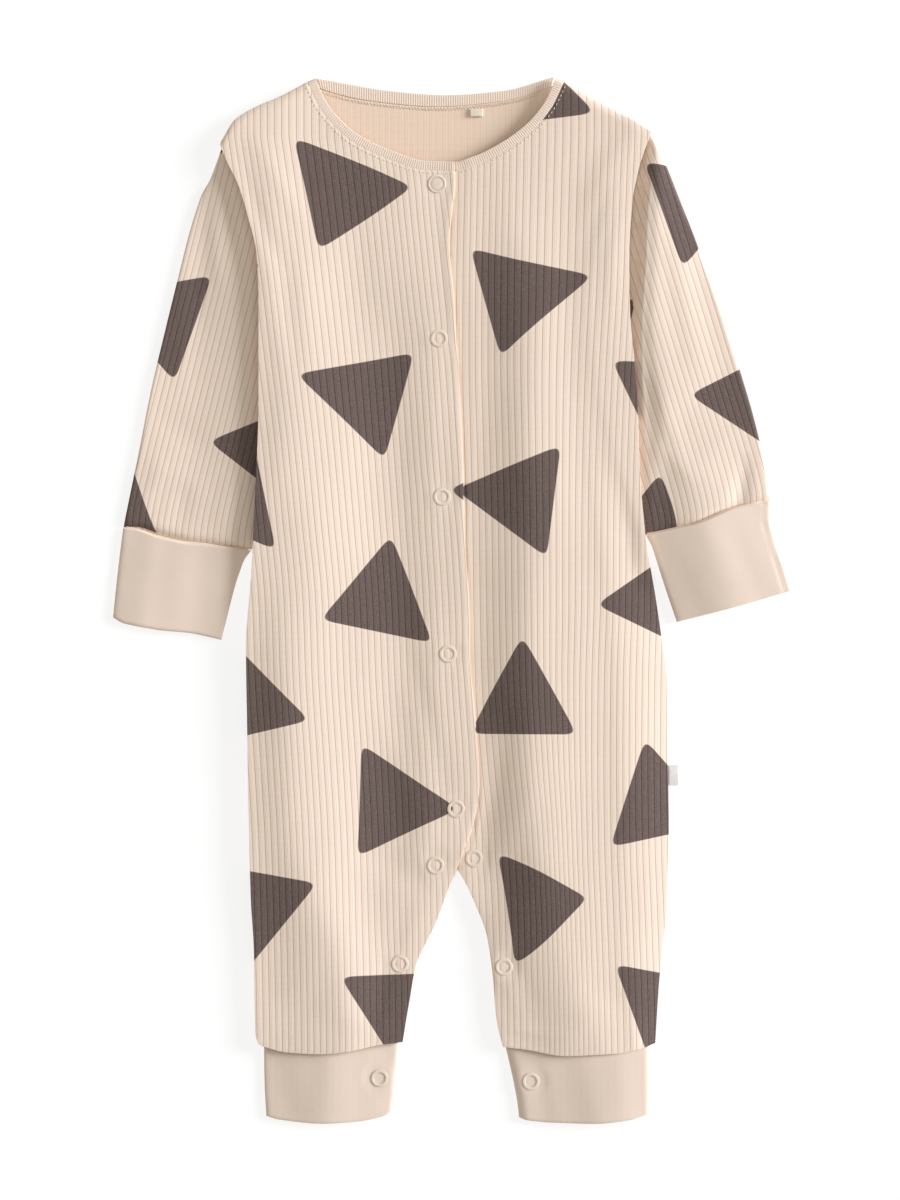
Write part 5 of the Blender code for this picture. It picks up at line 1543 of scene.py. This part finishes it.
def loop_part(low, high):
    """A tape folded back on itself at its far end: its section in x and z is a flat U of a wall, carried
    along y. The outer line runs out along the bottom, round a half circle and back along the top."""
    radius = 0.5 * (high[2] - low[2])
    turn = np.linspace(-math.pi / 2, math.pi / 2, 13)
    straight = np.linspace(low[0], high[0] - radius, 9)[:-1]
    lines = []
    for size in (radius, radius - LOOP_WALL):
        around_x, around_z = high[0] - radius + size * np.cos(turn), radius + size * np.sin(turn)
        x = np.concatenate((straight, around_x, straight[::-1]))
        z = np.concatenate((0 * straight + radius - size, around_z, 0 * straight + radius + size))
        lines.append(np.stack((x, z), axis=-1))
    outline = np.concatenate((lines[0], lines[1][::-1]))
    y = tape_places(low[1], high[1], LOOP_ENDS, 9)[:, None]
    reach = (outline[:, 0] - low[0]) / (high[0] - low[0])
    wave = LOOP_WAVE * np.sin(2 * math.pi * (y - low[1]) / (high[1] - low[1])) * reach ** 2
    z = low[2] + outline[:, 1] + wave + LOOP_RISE
    points = np.stack(np.broadcast_arrays(outline[:, 0], y, z), axis=-1)
    count, half = len(outline), len(lines[0])
    cap = end_cap(count - 1 - np.arange(half), np.arange(half))
    faces = np.concatenate((quads(len(y), count, False, True), cap, cap[:, ::-1] + (len(y) - 1) * count))
    return points, faces, points.copy()


class SLEEPSUIT_OT_labels(bpy.types.Operator):
    """Bare side label, a folded loop, and the bare size tab"""
    bl_idname = "sleepsuit.labels"
    bl_label = "Labels"

    def execute(self, context):
        flag = stand_in("side_flag", "side_label", [loop_part(*box_of("side_label"))], "label_tape")
        stand_in("neck_tab", "size_tab", [tape_part(*box_of("size_tab"))], "tab_tape")
        return {"FINISHED"}


# ---- sewing --------------------------------------------------------------------------------------

STITCH_LONG, STITCH_PITCH, STITCH_RADIUS = 1.6, 2.4, 0.18
STITCH_INSET = 1.5        # from the seam of the binding to the row of stitches
STITCH_ARCH = 0.1         # how far the middle of a stitch stands over its ends
ZIGZAG_WIDE, ZIGZAG_PITCH, ZIGZAG_HIGH = 1.5, 1.7, 0.1
# Rows of stitches on the fronts: x from and to, and the top that they lie on
STITCH_ROWS = ((-75, 0.5, right_front_top), (5.5, 58.5, left_front_top))
ZIGZAG_SPAN = (-69, 52.5)


def thread_part(path, radius, sides=6):
    """Threads along paths, an array (threads, points, 3): each is a tube, pinched at its ends by the root of
    the sine of the share of its length."""
    count = path.shape[1]
    step_along = np.gradient(path, axis=1)
    length = np.hypot(step_along[..., 0], step_along[..., 1])
    aside = np.stack((-step_along[..., 1] / length, step_along[..., 0] / length, 0 * length), axis=-1)
    share = np.sqrt(np.sin(math.pi * np.linspace(0, 1, count)).clip(0))
    turn = np.linspace(0, 2 * math.pi, sides, endpoint=False)
    up = np.array([0.0, 0.0, 1.0])
    across = np.cos(turn)[:, None] * aside[:, :, None, :] + np.sin(turn)[:, None] * up
    points = path[:, :, None, :] + radius * share[:, None, None] * across
    one = quads(count, sides, False, True)
    faces = np.concatenate([one + k * count * sides for k in range(len(path))])
    marks = np.zeros_like(points) + np.linspace(0, count, count)[:, None, None]
    return points, faces, marks


class SLEEPSUIT_OT_sewing(bpy.types.Operator):
    """Row of stitches under the front neck binding and zigzag under the back one"""
    bl_idname = "sleepsuit.sewing"
    bl_label = "Sewing"

    def execute(self, context):
        rows = []
        rib = 0.5 * millimetres(context.scene.sleepsuit_cloth.rib_raise)
        share = np.linspace(-0.5, 0.5, 7)[None, :] * STITCH_LONG
        arch = STITCH_ARCH * np.cos(math.pi * share / STITCH_LONG)
        for x_from, x_to, smooth_top in STITCH_ROWS:
            x, y, nx, ny, _ = (v[:, None] for v in even_path(front_neck, x_from, x_to, STITCH_PITCH))
            px, py = x - nx * STITCH_INSET + ny * share, y - ny * STITCH_INSET - nx * share
            rows.append(np.stack((px, py, smooth_top(px, py) + rib + arch), axis=-1))
        x, y, nx, ny, along = even_path(back_neck, *ZIGZAG_SPAN, ZIGZAG_PITCH / 8)
        swing = ZIGZAG_WIDE * (np.abs((along / ZIGZAG_PITCH) % 1.0 - 0.5) * 2 - 0.5)
        px, py = x - nx * (ZIGZAG_WIDE - swing), y - ny * (ZIGZAG_WIDE - swing)
        line = np.stack((px, py, np.full_like(px, BACK_WALL + ZIGZAG_HIGH)), axis=-1)[None]
        for name, paths in (("neck_stitches", np.concatenate(rows)), ("back_neck_stitches", line)):
            piece = make_mesh(name, [thread_part(paths, STITCH_RADIUS)], "sewing_thread")
            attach(piece, "root")
        return {"FINISHED"}


# ---- stage ---------------------------------------------------------------------------------------

# In metres
FLOOR_HALF, FLOOR_DROP = 4.0, 0.0002
KEY_PLACE, FILL_PLACE, FILL_SIZE = (2.5, 0.6, 0.71), (-0.7, 0.9, 1.9), 1.6
KEY_ANGLE = math.radians(26)           # a broad sun, for soft shadows
KEY_COLOUR, ROOM_COLOUR = (1.0, 1.02, 1.09), (1.0, 0.965, 0.89, 1)
VIEW_HEIGHT = 0.636       # of the plan from the top to the bottom of the picture
VIEW_MIDDLE, VIEW_RISE = (-0.0008, -0.0003), 0.005
SENSOR = 36.0             # millimetres


class SLEEPSUIT_OT_stage(bpy.types.Operator):
    """Pale floor, soft studio light from the right and a camera straight above"""
    bl_idname = "sleepsuit.stage"
    bl_label = "Stage"

    def light(self, name, kind, place, energy):
        """A light of a kind at a place, turned towards the sleepsuit."""
        data = bpy.data.lights.new(name, kind)
        data.energy = energy
        lamp = bpy.data.objects.new(name, data)
        lamp.location = place
        lamp.rotation_mode = "QUATERNION"
        lamp.rotation_quaternion = (-Vector(place)).to_track_quat("-Z", "Y")
        bpy.context.scene.collection.objects.link(lamp)
        return data

    def execute(self, context):
        settings = context.scene.sleepsuit_stage
        mesh = bpy.data.meshes.new("floor")
        signs = ((-1, -1), (1, -1), (1, 1), (-1, 1))
        corners = [(x * FLOOR_HALF, y * FLOOR_HALF, -FLOOR_DROP) for x, y in signs]
        mesh.from_pydata(corners, [], [(0, 1, 2, 3)])
        floor = bpy.data.objects.new("floor", mesh)
        context.scene.collection.objects.link(floor)
        shader = Shader("floor_paper")
        grain = shader.noise(90.0, 3.0)
        base = tuple(settings.floor)
        mesh.materials.append(shader.finish({
            "Base Color": shader.mix(grain.ramp(0.3, 0.7), tint(base, 0.99), base), "Roughness": 0.95,
            "Emission Color": (1.0, 1.0, 1.0, 1.0), "Emission Strength": settings.floor_glow}))
        key = self.light("key", "SUN", KEY_PLACE, settings.key)
        key.angle, key.color = KEY_ANGLE, KEY_COLOUR
        fill = self.light("fill", "AREA", FILL_PLACE, settings.fill)
        fill.shape, fill.size = "DISK", FILL_SIZE
        world = bpy.data.worlds.new("room")
        world.use_nodes = True
        background = world.node_tree.nodes["Background"].inputs
        background["Color"].default_value = ROOM_COLOUR
        background["Strength"].default_value = settings.sky
        context.scene.world = world
        context.scene.view_settings.view_transform = "Standard"
        data = bpy.data.cameras.new("camera")
        data.sensor_width, data.lens = SENSOR, settings.lens
        camera = bpy.data.objects.new("camera", data)
        camera.location = (*VIEW_MIDDLE, VIEW_HEIGHT * settings.lens / data.sensor_width + VIEW_RISE)
        context.scene.collection.objects.link(camera)
        context.scene.camera = camera
        return {"FINISHED"}


class SLEEPSUIT_PT_panel(bpy.types.Panel):
    """Lists the pieces of the sleepsuit and their settings"""
    bl_idname = "SLEEPSUIT_PT_panel"
    bl_label = "Sleepsuit"
    bl_space_type = "VIEW_3D"
    bl_region_type = "UI"
    bl_category = "Sleepsuit"

    def draw(self, context):
        for operator in OPERATORS:
            self.layout.operator(operator.bl_idname)
        for group, cls in SETTINGS.items():
            for name in cls.__annotations__:
                self.layout.prop(getattr(context.scene, group), name)


OPERATORS = (
    SLEEPSUIT_OT_stage, SLEEPSUIT_OT_back, SLEEPSUIT_OT_fronts, SLEEPSUIT_OT_sleeves, SLEEPSUIT_OT_cuffs,
    SLEEPSUIT_OT_neck, SLEEPSUIT_OT_sewing, SLEEPSUIT_OT_poppers, SLEEPSUIT_OT_labels)
SETTINGS = {
    "sleepsuit_cloth": SleepsuitCloth, "sleepsuit_colours": SleepsuitColours,
    "sleepsuit_stage": SleepsuitStage}
CLASSES = (*SETTINGS.values(), *OPERATORS, SLEEPSUIT_PT_panel)


def register():
    """Registers the classes, and hangs the settings on the scene."""
    for cls in CLASSES:
        bpy.utils.register_class(cls)
    for name, cls in SETTINGS.items():
        setattr(bpy.types.Scene, name, PointerProperty(type=cls))


def unregister():
    """Takes back what register does."""
    for name in SETTINGS:
        delattr(bpy.types.Scene, name)
    for cls in reversed(CLASSES):
        bpy.utils.unregister_class(cls)


def main():
    """Runs the operators in order."""
    register()
    for operator in OPERATORS:
        group, name = operator.bl_idname.split(".")
        getattr(getattr(bpy.ops, group), name)()


if __name__ == "__main__":
    main()
